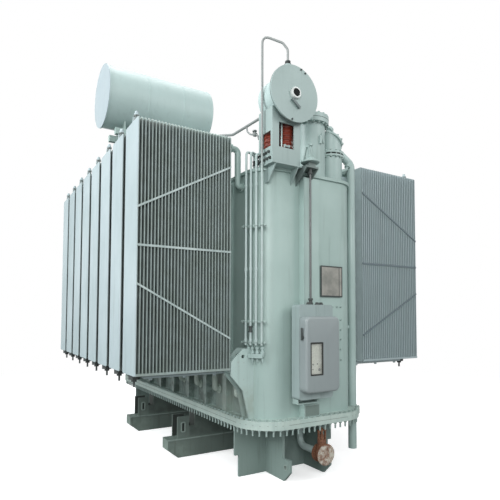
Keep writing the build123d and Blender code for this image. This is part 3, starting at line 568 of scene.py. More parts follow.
bm = bmesh.new()
for sign in (-1, 1):
    for y in (radiator_middles[0] - fin_width / 2 - 0.004,
              radiator_middles[7] + fin_width / 2 + 0.004):
        for rise in (-1, 0, 1):
            ends = (at(sign * fins_inner, y, strap_middle + rise * 1.2),
                    at(sign * fins_outer, y, strap_middle + rise * 0.48))
            run_bar(bm, [[end + Vector((0, deep * 0.004, tall * 0.014))
                          for deep, tall in ((-1, -1), (1, -1), (1, 1), (-1, 1))]
                         for end in ends])
fitted(piece_from(bm, "radiator_strap_bars", strap_paint),
       stands_for=("radiator_straps",))
bm = bmesh.new()
for sign in (-1, 1):
    for y in (radiator_middles[0] - fin_width / 2 - 0.005, radiator_middles[7] + fin_width / 2
              + 0.005):
        bevelled_block(bm, at(sign * fins_inner, y - 0.004, fin_low + 0.004),
                       at(sign * fins_outer, y + 0.004, fin_low + 0.036), 0.002)
fitted(piece_from(bm, "radiator_foot_straps", radiator_paint))


# Vent and drain plugs of the radiators: a hexagon plug on each top header beside its lifting
# lug, and a dark clamped drain cock under each bottom header at the outer corner.
def column_row_tree():
    """Repeats one stepped column along Y, once for each radiator."""
    tree, entry, leave = start_tree("radiator_plug_row", (
        ("Pitch", 0.686), ("Count", 8.0), ("Foot", 0.0), ("Collar width", 0.05),
        ("Collar height", 0.02), ("Stem width", 0.02), ("Stem height", 0.05),
        ("Cap width", 0.035), ("Cap height", 0.02)))
    step = linked_node(tree, "ShaderNodeCombineXYZ", {"Y": entry.outputs["Pitch"]})
    line = linked_node(tree, "GeometryNodeMeshLine", {"Count": entry.outputs["Count"],
                                                      "Offset": step.outputs["Vector"]})
    parts = []
    level = entry.outputs["Foot"]
    for width, height, sides in (("Collar width", "Collar height", 8),
                                 ("Stem width", "Stem height", 8),
                                 ("Cap width", "Cap height", 6)):
        nut_column(tree, parts, sides, entry.outputs[width], level, entry.outputs[height])
        level = sum_of(tree, "ADD", level, entry.outputs[height])
    end_tree(tree, entry, leave, copies(tree, line.outputs["Mesh"], joined(tree, parts)))
    return tree


plug_row = column_row_tree()
DARK_IRON = (0.045, 0.055, 0.053, 1)


def iron(name, colour, rust=0.3, roughness=0.55, metallic=0.0):
    """Dark painted or greased iron with rusty patches."""
    material, tree, shader, coords = new_finish(name)
    patches = noise(tree, coords, 14.0, 5.0, 0.65)
    toned = blend_colour(tree, remap(tree, patches, 0.48, 0.7, 0.0, rust), colour, RUST_BROWN)
    tree.links.new(toned, shader.inputs["Base Color"])
    tree.links.new(remap(tree, patches, 0.3, 0.7, roughness - 0.08, roughness + 0.2),
                   shader.inputs["Roughness"])
    shader.inputs["Metallic"].default_value = metallic
    bump = linked_node(tree, "ShaderNodeBump",
                       {"Height": noise(tree, coords, 90.0, 3.0), "Strength": 0.5,
                        "Distance": 0.001})
    tree.links.new(bump.outputs["Normal"], shader.inputs["Normal"])
    return material


dark_iron = iron("dark_fittings", DARK_IRON, rust=0.03)
plug_iron = iron("plug_iron", (0.14, 0.17, 0.165, 1), rust=0.1)


def plug_line(name, material, foot, x, aside, collar, stem, cap):
    """One row of plugs; collar, stem and cap are pairs of width and height."""
    row = grown(name, plug_row, material, pitch=block_pitch, count=float(block_count), foot=foot,
                collar_width=collar[0], collar_height=collar[1], stem_width=stem[0],
                stem_height=stem[1], cap_width=cap[0], cap_height=cap[1],
                place=at(x, radiator_middles[0] + aside, 0))
    fitted(row)


for side, sign in (("left", -1), ("right", 1)):
    plug_line(f"radiator_vents_{side}", plug_iron, 4.90, sign * 2.554, -0.06,
              (0.078, 0.045), (0.055, 0.035), (0.075, 0.018))
    plug_line(f"radiator_vent_caps_{side}", radiator_paint, 4.998, sign * 2.554, -0.06,
              (0.07, 0.012), (0.058, 0.016), (0.045, 0.022))
    plug_line(f"radiator_drains_{side}", dark_iron, 1.462, sign * 2.5, 0.06,
              (0.03, 0.072), (0.075, 0.03), (0.15, 0.07))

# Swan-neck pipes: bent steel tube between each radiator and the wall, above and below, with
# a flange and a butterfly valve at the radiator and a collar at the tank. Dust greys the lower.
neck_radius = 0.046
neck_line_x = 1.0
neck_bend = 0.07
neck_collar = 0.077
upper_neck_end = 4.306
collector_middle = 1.604
lower_neck_end = 1.24


def pipe_line(points, bend, step=math.radians(15)):
    """Centre line of a bent pipe: straight runs joined by arcs of one radius."""
    points = [Vector(p) for p in points]
    line = [points[0]]
    for before, corner, after in zip(points, points[1:], points[2:]):
        first = (before - corner).normalized()
        second = (after - corner).normalized()
        turn = math.pi - first.angle(second)
        cut = min(bend * math.tan(turn / 2), 0.49 * (before - corner).length,
                  0.49 * (after - corner).length)
        start = corner + first * cut
        end = corner + second * cut
        count = max(2, int(math.ceil(turn / step)))
        for index in range(count + 1):
            share = index / count
            straight = start.lerp(corner, share).lerp(corner.lerp(end, share), share)
            line.append(straight)
    line.append(points[-1])
    return line


def sweep_pipe(bm, line, radius, sides=14):
    """A round pipe of closed ends along a centre line."""
    rings = []
    way = (line[1] - line[0]).normalized()
    side = way.orthogonal().normalized()
    for index, point in enumerate(line):
        if index == 0:
            along = way
        elif index == len(line) - 1:
            along = (line[-1] - line[-2]).normalized()
        else:
            along = ((line[index + 1] - point).normalized()
                     + (point - line[index - 1]).normalized()).normalized()
        side = (side - along * side.dot(along)).normalized()
        up = along.cross(side)
        ring = []
        for corner in range(sides):
            turn = 2 * math.pi * corner / sides
            ring.append(bm.verts.new(point + radius * (math.cos(turn) * side
                                                       + math.sin(turn) * up)))
        rings.append(ring)
    for first, second in zip(rings, rings[1:]):
        for corner in range(sides):
            following = (corner + 1) % sides
            bm.faces.new((first[corner], first[following], second[following], second[corner]))
    bm.faces.new(list(reversed(rings[0])))
    bm.faces.new(rings[-1])


def bolt_heads(bm, place, way, radius, count, width, height):
    """A ring of hexagon heads that stand on a face."""
    way = Vector(way).normalized()
    side = way.orthogonal().normalized()
    up = way.cross(side)
    for index in range(count):
        turn = 2 * math.pi * (index + 0.5) / count
        foot = Vector(place) + radius * (math.cos(turn) * side + math.sin(turn) * up)
        turn_profile(bm, foot, way,
                     ((width / 2, 0), (width / 2, height * 0.8), (width * 0.4, height)), sides=6)


def flat_flange(bm, place, way, radius, thickness, bevel=0.004, sides=28):
    """A round flange with broken edges that starts at place."""
    turn_profile(bm, place, way, ((radius - bevel, 0), (radius, bevel),
                                  (radius, thickness - bevel), (radius - bevel, thickness)), sides)


dusty_paint = enamel("dusty_enamel", (0.5, 0.6, 0.54, 1), (0.3, 0.37, 0.33, 1),
                     dirt=(0.09, 0.11, 0.09, 1), streaks=0.6, specks=0.2, roughness=0.65)
for side, sign in (("left", -1), ("right", 1)):
    upper = bmesh.new()
    lower = bmesh.new()
    for y in radiator_middles:
        for bm, start_z, end_z, rim, handle in (
                (upper, header_high, upper_neck_end, 0.066, 1),
                (lower, collector_middle, lower_neck_end, 0.075, -1)):
            line = pipe_line([at(sign * stub_x, y, start_z), at(sign * neck_line_x, y, start_z),
                              at(sign * neck_line_x, y, end_z), at(sign * side_wall, y, end_z)],
                             neck_bend)
            sweep_pipe(bm, line, neck_radius)
            flat_flange(bm, at(sign * (side_wall + 0.001), y, end_z), (sign, 0, 0),
                        neck_collar, 0.02)
            for gap in (0.052, 0.024):
                flat_flange(bm, at(sign * (stub_x - gap), y, start_z), (sign, 0, 0), rim, 0.02)
            bolt_heads(bm, at(sign * (stub_x - 0.052), y, start_z), (-sign, 0, 0), rim * 0.84, 6,
                       0.02, 0.012)
            turn_profile(bm, at(sign * (stub_x - 0.018), y, start_z + rim - 0.01), (0, 0, handle),
                         ((0.014, 0), (0.014, 0.06), (0.022, 0.062), (0.022, 0.08)), sides=10)
    fitted(piece_from(upper, f"swan_necks_{side}", tank_paint),
           stands_for=(f"radiator_pipes_{side}",))
    fitted(piece_from(lower, f"lower_neck_valves_{side}", dusty_paint))

# Seals: black cork and rubber between the two tank flanges and in the round flanges above,
# seen as a thin dark line where the enamel stops.
rubber = iron("seal_rubber", (0.02, 0.022, 0.02, 1), rust=0.0, roughness=0.7)
cork = iron("dusty_cork", CORK_LINE, rust=0.2, roughness=0.8)


def rounded_line(left, right, low, high, radius, steps=8):
    """Points round a rectangle with rounded corners, as pairs."""
    points = []
    for centre, start in (((right - radius, high - radius), 0),
                          ((left + radius, high - radius), 90),
                          ((left + radius, low + radius), 180),
                          ((right - radius, low + radius), 270)):
        for step in range(steps + 1):
            turn = math.radians(start + 90 * step / steps)
            points.append((centre[0] + radius * math.cos(turn),
                           centre[1] + radius * math.sin(turn)))
    return points


def loft_loops(bm, loops):
    """Joins closed loops of equal count into one closed band."""
    rings = [[bm.verts.new(point) for point in loop] for loop in loops]
    for first, second in zip(rings, rings[1:] + rings[:1]):
        for i in range(len(first)):
            j = (i + 1) % len(first)
            bm.faces.new((first[i], first[j], second[j], second[i]))


seal_low = 0.8825
seal_high = 0.8865
seal_reach = 0.1608
far_seal_reach = 0.1598
bm = bmesh.new()
loops = []
for reach, z in ((0.15, seal_low), (seal_reach, seal_low), (seal_reach, seal_high),
                 (0.15, seal_high)):
    loops.append([at(x, min(y, far_seal_reach - near_wall), z) for x, y in rounded_line(
        -side_wall - reach, side_wall + reach, near_wall - reach, -near_wall + reach,
        corner_radius + reach)])
loft_loops(bm, loops)
fitted(piece_from(bm, "tank_flange_seal", cork))
bm = bmesh.new()
for place, radius, low, high in ((turret_place, 0.2865, 5.486, 5.492),
                                 (angled_place, 0.192, 5.012, 5.04),
                                 (head_place, 0.2135, 4.668, 4.674)):
    turn_profile(bm, at(*place, low), (0, 0, 1),
                 ((radius - 0.05, 0), (radius, 0), (radius, high - low),
                  (radius - 0.05, high - low), (radius - 0.05, 0)), sides=48)
fitted(piece_from(bm, "flange_seals", rubber))

# Skid base: two boxed beams with boat-shaped runners and slotted lugs, and a braced foot under
# each end, dirtier than the tank. Painted shade darkens the beams under the tank and inside
# their hollows, and painted light pales the runner ends. Rims, lips and the liners of the
# hauling holes are welded on.
BASE_GREY = (0.135, 0.178, 0.158, 1)
BASE_SHADE = (0.088, 0.118, 0.106, 1)
GROUND_DIRT = (0.05, 0.05, 0.04, 1)
HOLLOW_SHADE = (0.025, 0.03, 0.027, 1)
SHADE_UNDER_TANK = (0.06, 0.08, 0.07, 1)
RUNNER_END_LIGHT = (0.22, 0.285, 0.25, 1)
base_paint = enamel("skid_enamel", BASE_GREY, BASE_SHADE, dirt=GROUND_DIRT, streaks=0.6,
                    specks=0.5, roughness=0.55, zones=(
    # Painted shade on the beams under the tank and inside their hollows, painted light on the
    # runner ends that reach out from under it.
    ({"Z": (0.33, 0.8), "side": (0.0, 1.08)}, SHADE_UNDER_TANK, 0.8, 0.4, 0.02),
    ({"Z": (-0.3, 0.3), "side": (1.0, 3.0)}, RUNNER_END_LIGHT, 0.8, 0.5, 0.12),
    ({"Y": (-0.903, -0.697), "Z": (0.32, 0.9)}, HOLLOW_SHADE, 0.9, 0.1, 0.002),
    ({"Y": (1.192, 1.398), "Z": (0.32, 0.9)}, HOLLOW_SHADE, 0.9, 0.1, 0.002)))
foot_paint = enamel("end_foot_enamel", (0.215, 0.288, 0.265, 1), (0.165, 0.22, 0.205, 1),
                    dirt=GROUND_DIRT, streaks=0.35, specks=0.3, roughness=0.5)
coat_node("skid_beams", base_paint)
for name in ("end_foot_near", "end_foot_far"):
    coat_node(name, foot_paint)
rim_paint = enamel("slot_rim_enamel", (0.26, 0.33, 0.3, 1), BASE_GREY, dirt=GROUND_DIRT,
                   streaks=0.5, specks=0.4, roughness=0.5)
beam_half = 0.125
slot_half = 0.022
slot_low = 0.435
slot_high = 0.569
runner_reach = 1.462
lip_half = 0.006
hole_y = 2.915
hole_height = 0.204
bm = bmesh.new()
for beam_y in (-0.945, 1.150):
    for side in (-1, 1):
        face = beam_y + side * beam_half
        for slot_x in (-1.196, 1.196):
            loops = []
            for reach, proud in ((0, 0), (0, 0.009), (0.02, 0.009), (0.022, 0.007), (0.022, 0)):
                loops.append([at(x, face + side * (proud - 0.001), z) for x, z in rounded_line(
                    slot_x - slot_half - reach, slot_x + slot_half + reach, slot_low - reach,
                    slot_high + reach, 0.006 + reach, steps=4)])
            loft_loops(bm, loops)
        bevelled_block(bm, at(-runner_reach, face - lip_half * (1 - side), 0.292),
                       at(runner_reach, face + lip_half * (1 + side), 0.314), 0.003)
for end in (-1, 1):
    for x in (-0.37, 0.37):
        hole = at(x - 0.026, end * hole_y, hole_height)
        turn_profile(bm, hole, (1, 0, 0),
                     ((0.027, 0), (0.044, 0), (0.044, 0.052), (0.027, 0.052), (0.027, 0)),
                     sides=24)
fitted(piece_from(bm, "lug_slot_rims", rim_paint))

# Main conservator: a long rolled drum with a rimmed flat end and a dished one, in a paler and
# bluer coat that the sky has bleached, on two frames of welded box section. Its flat end, turned
# to the left lamp, is darker and bluer: painted shade.
DRUM_PALE = (0.46, 0.585, 0.57, 1)
DRUM_SHADE = (0.38, 0.49, 0.475, 1)
DRUM_END_SHADE = (0.335, 0.415, 0.45, 1)
# Painted shade: the flat end, turned to the left lamp, is darker and bluer.
drum_paint = enamel("conservator_enamel", DRUM_PALE, DRUM_SHADE, streaks=0.16, roughness=0.36,
                    zones=(({"X": (-3.0, -2.42)}, DRUM_END_SHADE, 1.0, 0.1, 0.001),))
for name in ("main_conservator", "tap_conservator", "sampling_box"):
    coat_node(name, drum_paint)
coat_node("conservator_support", tank_paint)

# Fittings of the main conservator: the weld beads round its rolled shell, and a hexagon cap
# of dark iron on each of its two fillers.
drum_axis_y = -0.149
drum_axis_z = 6.294
drum_radius = 0.533
bm = bmesh.new()
for x in (-2.40, -1.72, -1.06, -0.49):
    bead = [(drum_radius - 0.004, -0.008), (drum_radius + 0.003, -0.006), (drum_radius + 0.005, 0),
            (drum_radius + 0.003, 0.006), (drum_radius - 0.004, 0.008)]
    turn_profile(bm, at(x, drum_axis_y, drum_axis_z), (1, 0, 0), bead + bead[:1], sides=72)
fitted(piece_from(bm, "conservator_fittings", drum_paint))
filler_seat = 6.862
bm = bmesh.new()
for x in (-1.846, -0.946):
    turn_profile(bm, at(x, drum_axis_y, filler_seat), (0, 0, 1),
                 ((0.036, 0), (0.036, 0.018), (0.028, 0.024)), sides=6)
fitted(piece_from(bm, "filler_caps", dark_iron))

# Relay pipe and its relay, the collecting pipe with its valve, and the thin pipes down the
# corner: bought steel tube, bent cold, with screwed unions and small brass valves.
coat_node("relay_pipe", tank_paint)
pipe_white = enamel("pipe_enamel", (0.46, 0.56, 0.545, 1), (0.34, 0.43, 0.415, 1), streaks=0.3,
                    specks=0.3, roughness=0.38)
pipe_grey = enamel("weathered_tube", (0.27, 0.29, 0.285, 1), (0.2, 0.22, 0.215, 1),
                   streaks=0.2, specks=0.1, roughness=0.4, zones=(
                       ({"Z": (0.0, 4.6)}, (0.43, 0.53, 0.51, 1), 1.0, 0.2, 0.15),))
collect_x = -0.60
bm = bmesh.new()
collect_route = ((-2.88, 5.419), (-1.68, 5.46), (-0.36, 5.86), (-0.149, 5.93))
sweep_pipe(bm, pipe_line([at(collect_x, *point) for point in collect_route], 0.35), 0.022)
branch_route = ((-2.13, 5.44), (-2.155, 5.35), (-2.25, 5.275), (-2.40, 5.22), (-2.47, 5.19),
                (-2.505, 5.11))
sweep_pipe(bm, pipe_line([at(collect_x, *point) for point in branch_route], 0.08), 0.014, sides=12)
flat_flange(bm, at(collect_x, -2.79, 5.422), (0, -1, 0), 0.042, 0.024)
flat_flange(bm, at(collect_x, -2.765, 5.422), (0, -1, 0), 0.042, 0.02)
turn_profile(bm, at(collect_x, -2.35, 5.24), (0, -0.1, -0.04),
             ((0.026, 0), (0.026, 0.014), (0.034, 0.02), (0.034, 0.06), (0.026, 0.066),
              (0.026, 0.086)), sides=12)
turn_profile(bm, at(collect_x, -2.39, 5.225), (0, 0.2, 1),
             ((0.012, 0), (0.012, 0.05), (0.036, 0.052), (0.036, 0.064)), sides=14)
fitted(piece_from(bm, "collecting_pipe_run", pipe_grey),
       stands_for=("collecting_pipe",))

corner_x = side_wall - corner_radius
corner_y = near_wall + corner_radius
thin_radius = 0.017
thin_offset = 0.108
thin_bottom = 1.98
thin_top = 4.75
clamp_levels = (2.31, 3.66, 2.02)


def corner_point(angle, offset, z):
    """A point that stands off the rounded near left corner of the tank."""
    turn = math.radians(angle)
    reach = corner_radius + offset
    return at(-corner_x + reach * math.cos(turn), corner_y + reach * math.sin(turn), z)


bm = bmesh.new()
thin_angles = [197 + 9.7 * index for index in range(4)]
thin_feet = [at(-0.835, -2.75, cover_top), at(-0.825, -2.81, cover_top),
             at(-0.832, -2.9605, 4.69)]
for index, angle in enumerate(thin_angles[:3]):
    foot = thin_feet[index]
    level = thin_top - 0.02 * index if index < 2 else foot.z
    corners = [corner_point(angle, thin_offset, thin_bottom),
               corner_point(angle, thin_offset, level)]
    if index < 2:
        corners.append(Vector((foot.x, foot.y, level)))
    line = pipe_line(corners + [foot], 0.062)
    sweep_pipe(bm, line, thin_radius, sides=12)
    for level in (2.05, 3.05, 4.25):
        turn_profile(bm, corner_point(angle, thin_offset, level - 0.02), (0, 0, 1),
                     ((0.023, 0), (0.023, 0.04)), sides=8)
    flat_flange(bm, foot, (0, 0, 1) if index < 2 else (-1, 0, 0), 0.036, 0.012, 0.003, 16)
fitted(piece_from(bm, "corner_pipe_run", pipe_white), stands_for=("corner_pipes",))
bm = bmesh.new()
breather_cap = (-0.584, -3.24)
breather = [at(*breather_cap, 5.93), at(*breather_cap, 6.17), at(-0.64, -3.2, 6.268),
            corner_point(thin_angles[3], thin_offset, 6.40),
            corner_point(thin_angles[3], thin_offset, thin_bottom)]
sweep_pipe(bm, pipe_line(breather, 0.085), thin_radius, sides=12)
fitted(piece_from(bm, "breather_pipe_run", pipe_grey))

# Clamps of the corner pipes: a curved flat bar on two welded feet, with a U-bolt at each pipe.
# Small valves of dark iron sit on the pipes, glands on the stand, a cap under the breather.
clamp_outer = thin_offset - thin_radius
clamp_inner = clamp_outer - 0.008
clamp_steps = 14
hoop_radius = 0.024
hoop_leg = 0.032
bm = bmesh.new()
for level in clamp_levels:
    section = [(offset, level + high) for offset, high in (
        (clamp_inner, -0.02), (clamp_outer, -0.02), (clamp_outer, 0.02), (clamp_inner, 0.02))]
    run_bar(bm, [[corner_point(190 + 43 * index / clamp_steps, *point) for point in section]
                 for index in range(clamp_steps + 1)])
    for angle in (202, 221):
        foot = corner_point(angle, -0.002, level)
        way = corner_point(angle, 0.1, level) - foot
        turn_profile(bm, foot, way, ((0.02, 0), (0.02, 0.088)), sides=8)
    for angle in thin_angles:
        middle = corner_point(angle, thin_offset, level)
        out = (corner_point(angle, 0.2, level) - middle).normalized()
        aside = Vector((-out.y, out.x, 0))
        hoop = [middle + aside * hoop_radius - out * hoop_leg]
        for step in range(9):
            turn = math.pi * step / 8
            hoop.append(middle + aside * (hoop_radius * math.cos(turn))
                        + out * (hoop_radius * math.sin(turn)))
        hoop.append(middle - aside * hoop_radius - out * hoop_leg)
        sweep_pipe(bm, hoop, 0.005, sides=6)
    for angle in (191.5, 231.5):
        foot = corner_point(angle, 0.075, level)
        turn_profile(bm, foot, corner_point(angle, 0.175, level) - foot,
                     ((0.016, 0), (0.016, 0.035), (0.024, 0.036), (0.024, 0.055), (0.012, 0.056),
                      (0.012, 0.075)), sides=6)
fitted(piece_from(bm, "corner_pipe_clamps", fitting_paint))
bm = bmesh.new()
turn_profile(bm, corner_point(thin_angles[1], thin_offset, 2.16), (0, 0, 1),
             ((0.03, 0), (0.03, 0.02), (0.022, 0.03), (0.022, 0.06), (0.03, 0.07), (0.03, 0.09)),
             sides=10)
for index in range(2):
    foot = thin_feet[index] + Vector((0, 0, 0.07))
    turn_profile(bm, foot, (0, 0, 1),
                 ((0.026, 0), (0.026, 0.012), (0.02, 0.02), (0.02, 0.05), (0.026, 0.058),
                  (0.026, 0.07)), sides=10)
    turn_profile(bm, foot + Vector((0, 0, 0.035)), (-0.3, -1, 0),
                 ((0.01, 0), (0.01, 0.05), (0.028, 0.052), (0.028, 0.062)), sides=12)
for y in (-3.17, -3.10, -3.03, -2.96, -2.89):
    for z in (4.59, 4.68):
        turn_profile(bm, at(-0.833, y + 0.3 * (z - 4.59), z), (-1, 0, 0),
                     ((0.022, 0), (0.022, 0.018), (0.012, 0.02), (0.012, 0.034)), sides=6)
turn_profile(bm, at(*breather_cap, 5.9405), (0, 0, 1),
             ((0.05, 0), (0.05, 0.012), (0.03, 0.02), (0.03, 0.034), (0.04, 0.036), (0.04, 0.056)),
             sides=16)
fitted(piece_from(bm, "corner_pipe_valves", dark_iron))

# End cover of the tap changer conservator: a pale round plate bolted to the drum, with a
# sight gauge in a white ring and a flat bar below it.
cover_paint = enamel("end_cover_enamel", (0.325, 0.42, 0.405, 1), (0.27, 0.35, 0.335, 1),
                     streaks=0.12, roughness=0.38)
coat_node("tap_conservator_cover", cover_paint)
gauge_x = -0.524
gauge_z = 5.512
bm = bmesh.new()
turn_profile(bm, at(gauge_x, -3.2985, gauge_z), (0, -1, 0),
             ((0.36, 0), (0.4065, 0), (0.4065, 0.006), (0.36, 0.006), (0.36, 0)), sides=72)
for angle, out in ((62, 0.395), (74, 0.4), (262, 0.4)):
    turn = math.radians(angle)
    turn_profile(bm, at(gauge_x + (out - 0.018) * math.cos(turn), -3.329,
                        gauge_z + (out - 0.018) * math.sin(turn)), (0, -1, 0),
                 ((0.014, 0), (0.014, 0.012), (0.009, 0.014), (0.009, 0.022)), sides=6)
fitted(piece_from(bm, "end_cover_seal_and_screws", dark_iron))


def glossy(name, colour, roughness=0.12, coat=0.5):
    """Glazed or lacquered surface with a faint cloud in its tone."""
    material, tree, shader, coords = new_finish(name)
    clouds = noise(tree, coords, 9.0, 3.0)
    darker = tuple(0.72 * part for part in colour[:3]) + (1,)
    tree.links.new(blend_colour(tree, remap(tree, clouds, 0.4, 0.65, 0.0, 0.8), colour, darker),
                   shader.inputs["Base Color"])
    tree.links.new(remap(tree, clouds, 0.3, 0.7, roughness, roughness + 0.1),
                   shader.inputs["Roughness"])
    shader.inputs["Coat Weight"].default_value = coat
    shader.inputs["Specular IOR Level"].default_value = 0.5 if coat else 0.1
    return material


gauge_white = glossy("gauge_ring_white", (0.72, 0.76, 0.74, 1), 0.3, 0.2)
gauge_dark = glossy("gauge_glass", (0.006, 0.008, 0.008, 1), 0.5, 0.0)
bm = bmesh.new()
turn_profile(bm, at(gauge_x, -3.33, gauge_z), (0, -1, 0),
             ((0.067, 0.0), (0.084, 0.0), (0.084, 0.01), (0.08, 0.038), (0.072, 0.046),
              (0.064, 0.047), (0.058, 0.045), (0.056, 0.0412), (0.067, 0.0)), sides=40)
fitted(piece_from(bm, "sight_gauge_ring", gauge_white))
bm = bmesh.new()
turn_profile(bm, at(gauge_x, -3.3705, gauge_z), (0, -1, 0),
             ((0.0565, 0), (0.0565, 0.0012), (0.04, 0.0035), (0, 0.0045)), sides=32)
fitted(piece_from(bm, "sight_gauge_glass", gauge_dark))
bar_grey = enamel("gauge_bar_enamel", (0.16, 0.2, 0.2, 1), (0.1, 0.13, 0.13, 1), streaks=0.2)
bar_middle = at(gauge_x, -3.354, 5.362)
bar_half = Vector((0.085, 0.015, 0.018))
bm = bmesh.new()
bevelled_block(bm, bar_middle - bar_half, bar_middle + bar_half, 0.005, 2,
               Matrix.Rotation(math.radians(38), 4, "Y"))
fitted(piece_from(bm, "gauge_bar", bar_grey))

# Stand and platform of the small conservator, and the turrets on the cover: welded plate and
# rolled barrels in the tank's enamel, a little paler where rain washes them.
upper_paint = enamel("turret_enamel", (0.365, 0.47, 0.45, 1), TANK_SHADE, streaks=0.25,
                     specks=0.2, roughness=0.4)
for name in ("turret", "turret_lid", "angled_turret",
             "tap_changer_head", "relief_pot", "relief_pipe", "bushing_posts"):
    coat_node(name, upper_paint)
stand_paint = enamel("stand_enamel", (0.325, 0.415, 0.4, 1), (0.26, 0.34, 0.325, 1), streaks=0.25,
                     specks=0.2, roughness=0.4)
for name in ("tap_stand", "tap_platform"):
    coat_node(name, stand_paint)

# Bushings: turned porcelain with rounded sheds and a deep red-brown glaze, a cream cement
# collar at the foot and a plated terminal on top.
porcelain = glossy("brown_glaze", (0.17, 0.035, 0.018, 1), 0.12, 0.6)
cement = enamel("cream_cement", (0.55, 0.5, 0.4, 1), (0.42, 0.38, 0.3, 1), streaks=0.2,
                roughness=0.7)
steel_bright, tree, shader, coords = new_finish("plated_steel")
grain = noise(tree, coords, 30.0, 4.0, 0.6, stretch=(1.0, 1.0, 12.0))
tree.links.new(blend_colour(tree, remap(tree, grain, 0.35, 0.7, 0.0, 1.0),
                            (0.42, 0.43, 0.43, 1), (0.2, 0.2, 0.19, 1)),
               shader.inputs["Base Color"])
tree.links.new(remap(tree, grain, 0.3, 0.7, 0.28, 0.5), shader.inputs["Roughness"])
shader.inputs["Metallic"].default_value = 0.85
bm = bmesh.new()
collars = bmesh.new()
tops = bmesh.new()
for place in bushing_places:
    profile = [(0.066, 0.012)]
    for shed in range(5):
        root = 0.072 * shed + 0.022
        profile += [(0.066, root), (0.07, root + 0.008), (0.093, root + 0.012),
                    (0.098, root + 0.017), (0.096, root + 0.023), (0.072, root + 0.045),
                    (0.066, root + 0.055)]
    profile += [(0.066, 0.42), (0.058, 0.432)]
    turn_profile(bm, at(*place, bushing_foot), (0, 0, 1), profile, sides=32)
    turn_profile(collars, at(*place, bushing_foot), (0, 0, 1),
                 ((0.092, 0), (0.092, 0.008), (0.074, 0.02)), sides=32)
    turn_profile(tops, at(*place, bushing_foot + 0.43), (0, 0, 1),
                 ((0.05, 0), (0.05, 0.016), (0.024, 0.02), (0.024, 0.045), (0.034, 0.046),
                  (0.034, 0.06), (0.024, 0.061), (0.024, 0.088), (0.02, 0.092)), sides=20)
fitted(piece_from(bm, "bushing_insulators", porcelain),
       stands_for=("bushings",))
fitted(piece_from(collars, "bushing_collars", cement))
fitted(piece_from(tops, "bushing_terminals", steel_bright))

# Post insulators inside the stand: two brown glazed posts on the platform that carry the
# tap leads, seen through the windows, with a pale lead tube and its clamp beside them.
bm = bmesh.new()
post_red = glossy("red_brown_glaze", (0.23, 0.04, 0.022, 1), 0.3, 0.3)
for x, y in ((-0.482, -3.05), (-0.70, -2.995)):
    profile = []
    for shed in range(10):
        root = 0.062 * shed
        profile += [(0.094, root), (0.105, root + 0.01), (0.11, root + 0.02),
                    (0.108, root + 0.03), (0.096, root + 0.046), (0.094, root + 0.061)]
    profile.append((0, 0.62))
    turn_profile(bm, at(x, y, 4.536), (0, 0, 1), profile, sides=28)
fitted(piece_from(bm, "stand_insulators", post_red))
bm = bmesh.new()
bevelled_block(bm, at(-0.812, -2.9, 4.54), at(-0.37, -2.892, 5.16), 0.003)
fitted(piece_from(bm, "stand_partition", upper_paint))
bm = bmesh.new()
sweep_pipe(bm, pipe_line([at(-0.628, -3.15, 4.54), at(-0.628, -3.15, 4.9),
                          at(-0.62, -3.14, 5.13)], 0.05), 0.011, sides=10)
turn_profile(bm, at(-0.60, -3.175, 4.80), (1, 0, 0),
             ((0.024, 0), (0.024, 0.02), (0.014, 0.026), (0.014, 0.07), (0.022, 0.072),
              (0.022, 0.09)), sides=12)
fitted(piece_from(bm, "stand_lead_tube", pipe_white))

# Fittings of the turrets: bent bars welded on the large one as lifting eyes, and on the angled
# one the bolts of its slanted lid, a round foot flange, a capped vent and a bent branch pipe.
bm = bmesh.new()
eye_way = Vector((-0.80, -0.60, 0))
eye_side = Vector((0.60, -0.80, 0))
for way, side, root, low, high, half in ((eye_way, eye_side, 0.232, 4.82, 5.02, 0.06),
                                         (Vector((0.2, -0.98, 0)), Vector((0.98, 0.2, 0)), 0.236,
                                          5.10, 5.24, 0.025)):
    foot = at(*turret_place, 0) + way * root
    eye = [foot + side * -half + Vector((0, 0, low)),
           foot + side * -half * 0.35 + Vector((0, 0, high)),
           foot + side * half * 0.35 + Vector((0, 0, high)),
           foot + side * half + Vector((0, 0, low))]
    sweep_pipe(bm, pipe_line(eye, 0.03), 0.012, sides=8)
fitted(piece_from(bm, "turret_lifting_eyes", upper_paint))
bm = bmesh.new()
lid_lean = math.radians(35)
lid_way = Vector((math.sin(lid_lean), 0, math.cos(lid_lean)))
lid_side = Vector((math.cos(lid_lean), 0, -math.sin(lid_lean)))
turret_low, turret_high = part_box("angled_turret")
mitre_middle = at(*angled_place, 5.275)
lid_middle = Vector(((turret_low.x + turret_high.x) / 2 + 0.018, middle_y + angled_place[1],
                     turret_high.z - 0.205 * math.sin(lid_lean) - 0.03 * math.cos(lid_lean)))
for index in range(12):
    turn = 2 * math.pi * (index + 0.5) / 12
    place = lid_middle + 0.186 * (math.cos(turn) * lid_side + Vector((0, math.sin(turn), 0)))
    turn_profile(bm, place + lid_way * 0.024, lid_way,
                 ((0.018, 0), (0.018, 0.016), (0.011, 0.02), (0.011, 0.034)), sides=6)
fitted(piece_from(bm, "angled_lid_bolts", fitting_paint))
bm = bmesh.new()
flat_flange(bm, at(*angled_place, cover_top), (0, 0, 1), 0.224, 0.022, sides=48)
vent = mitre_middle + lid_way * 0.029 - lid_side * 0.13
turn_profile(bm, vent, lid_way,
             ((0.056, 0), (0.056, 0.016), (0.038, 0.022), (0.038, 0.1), (0.062, 0.104),
              (0.062, 0.15), (0.03, 0.156), (0.03, 0.17), (0, 0.172)), sides=20)
bolt_heads(bm, vent + lid_way * 0.15, lid_way, 0.047, 6, 0.016, 0.01)
sweep_pipe(bm, pipe_line([at(0.80, -2.78, 4.76), at(0.885, -2.835, 4.79), at(0.985, -2.825, 4.95)],
                         0.05), 0.026, sides=12)
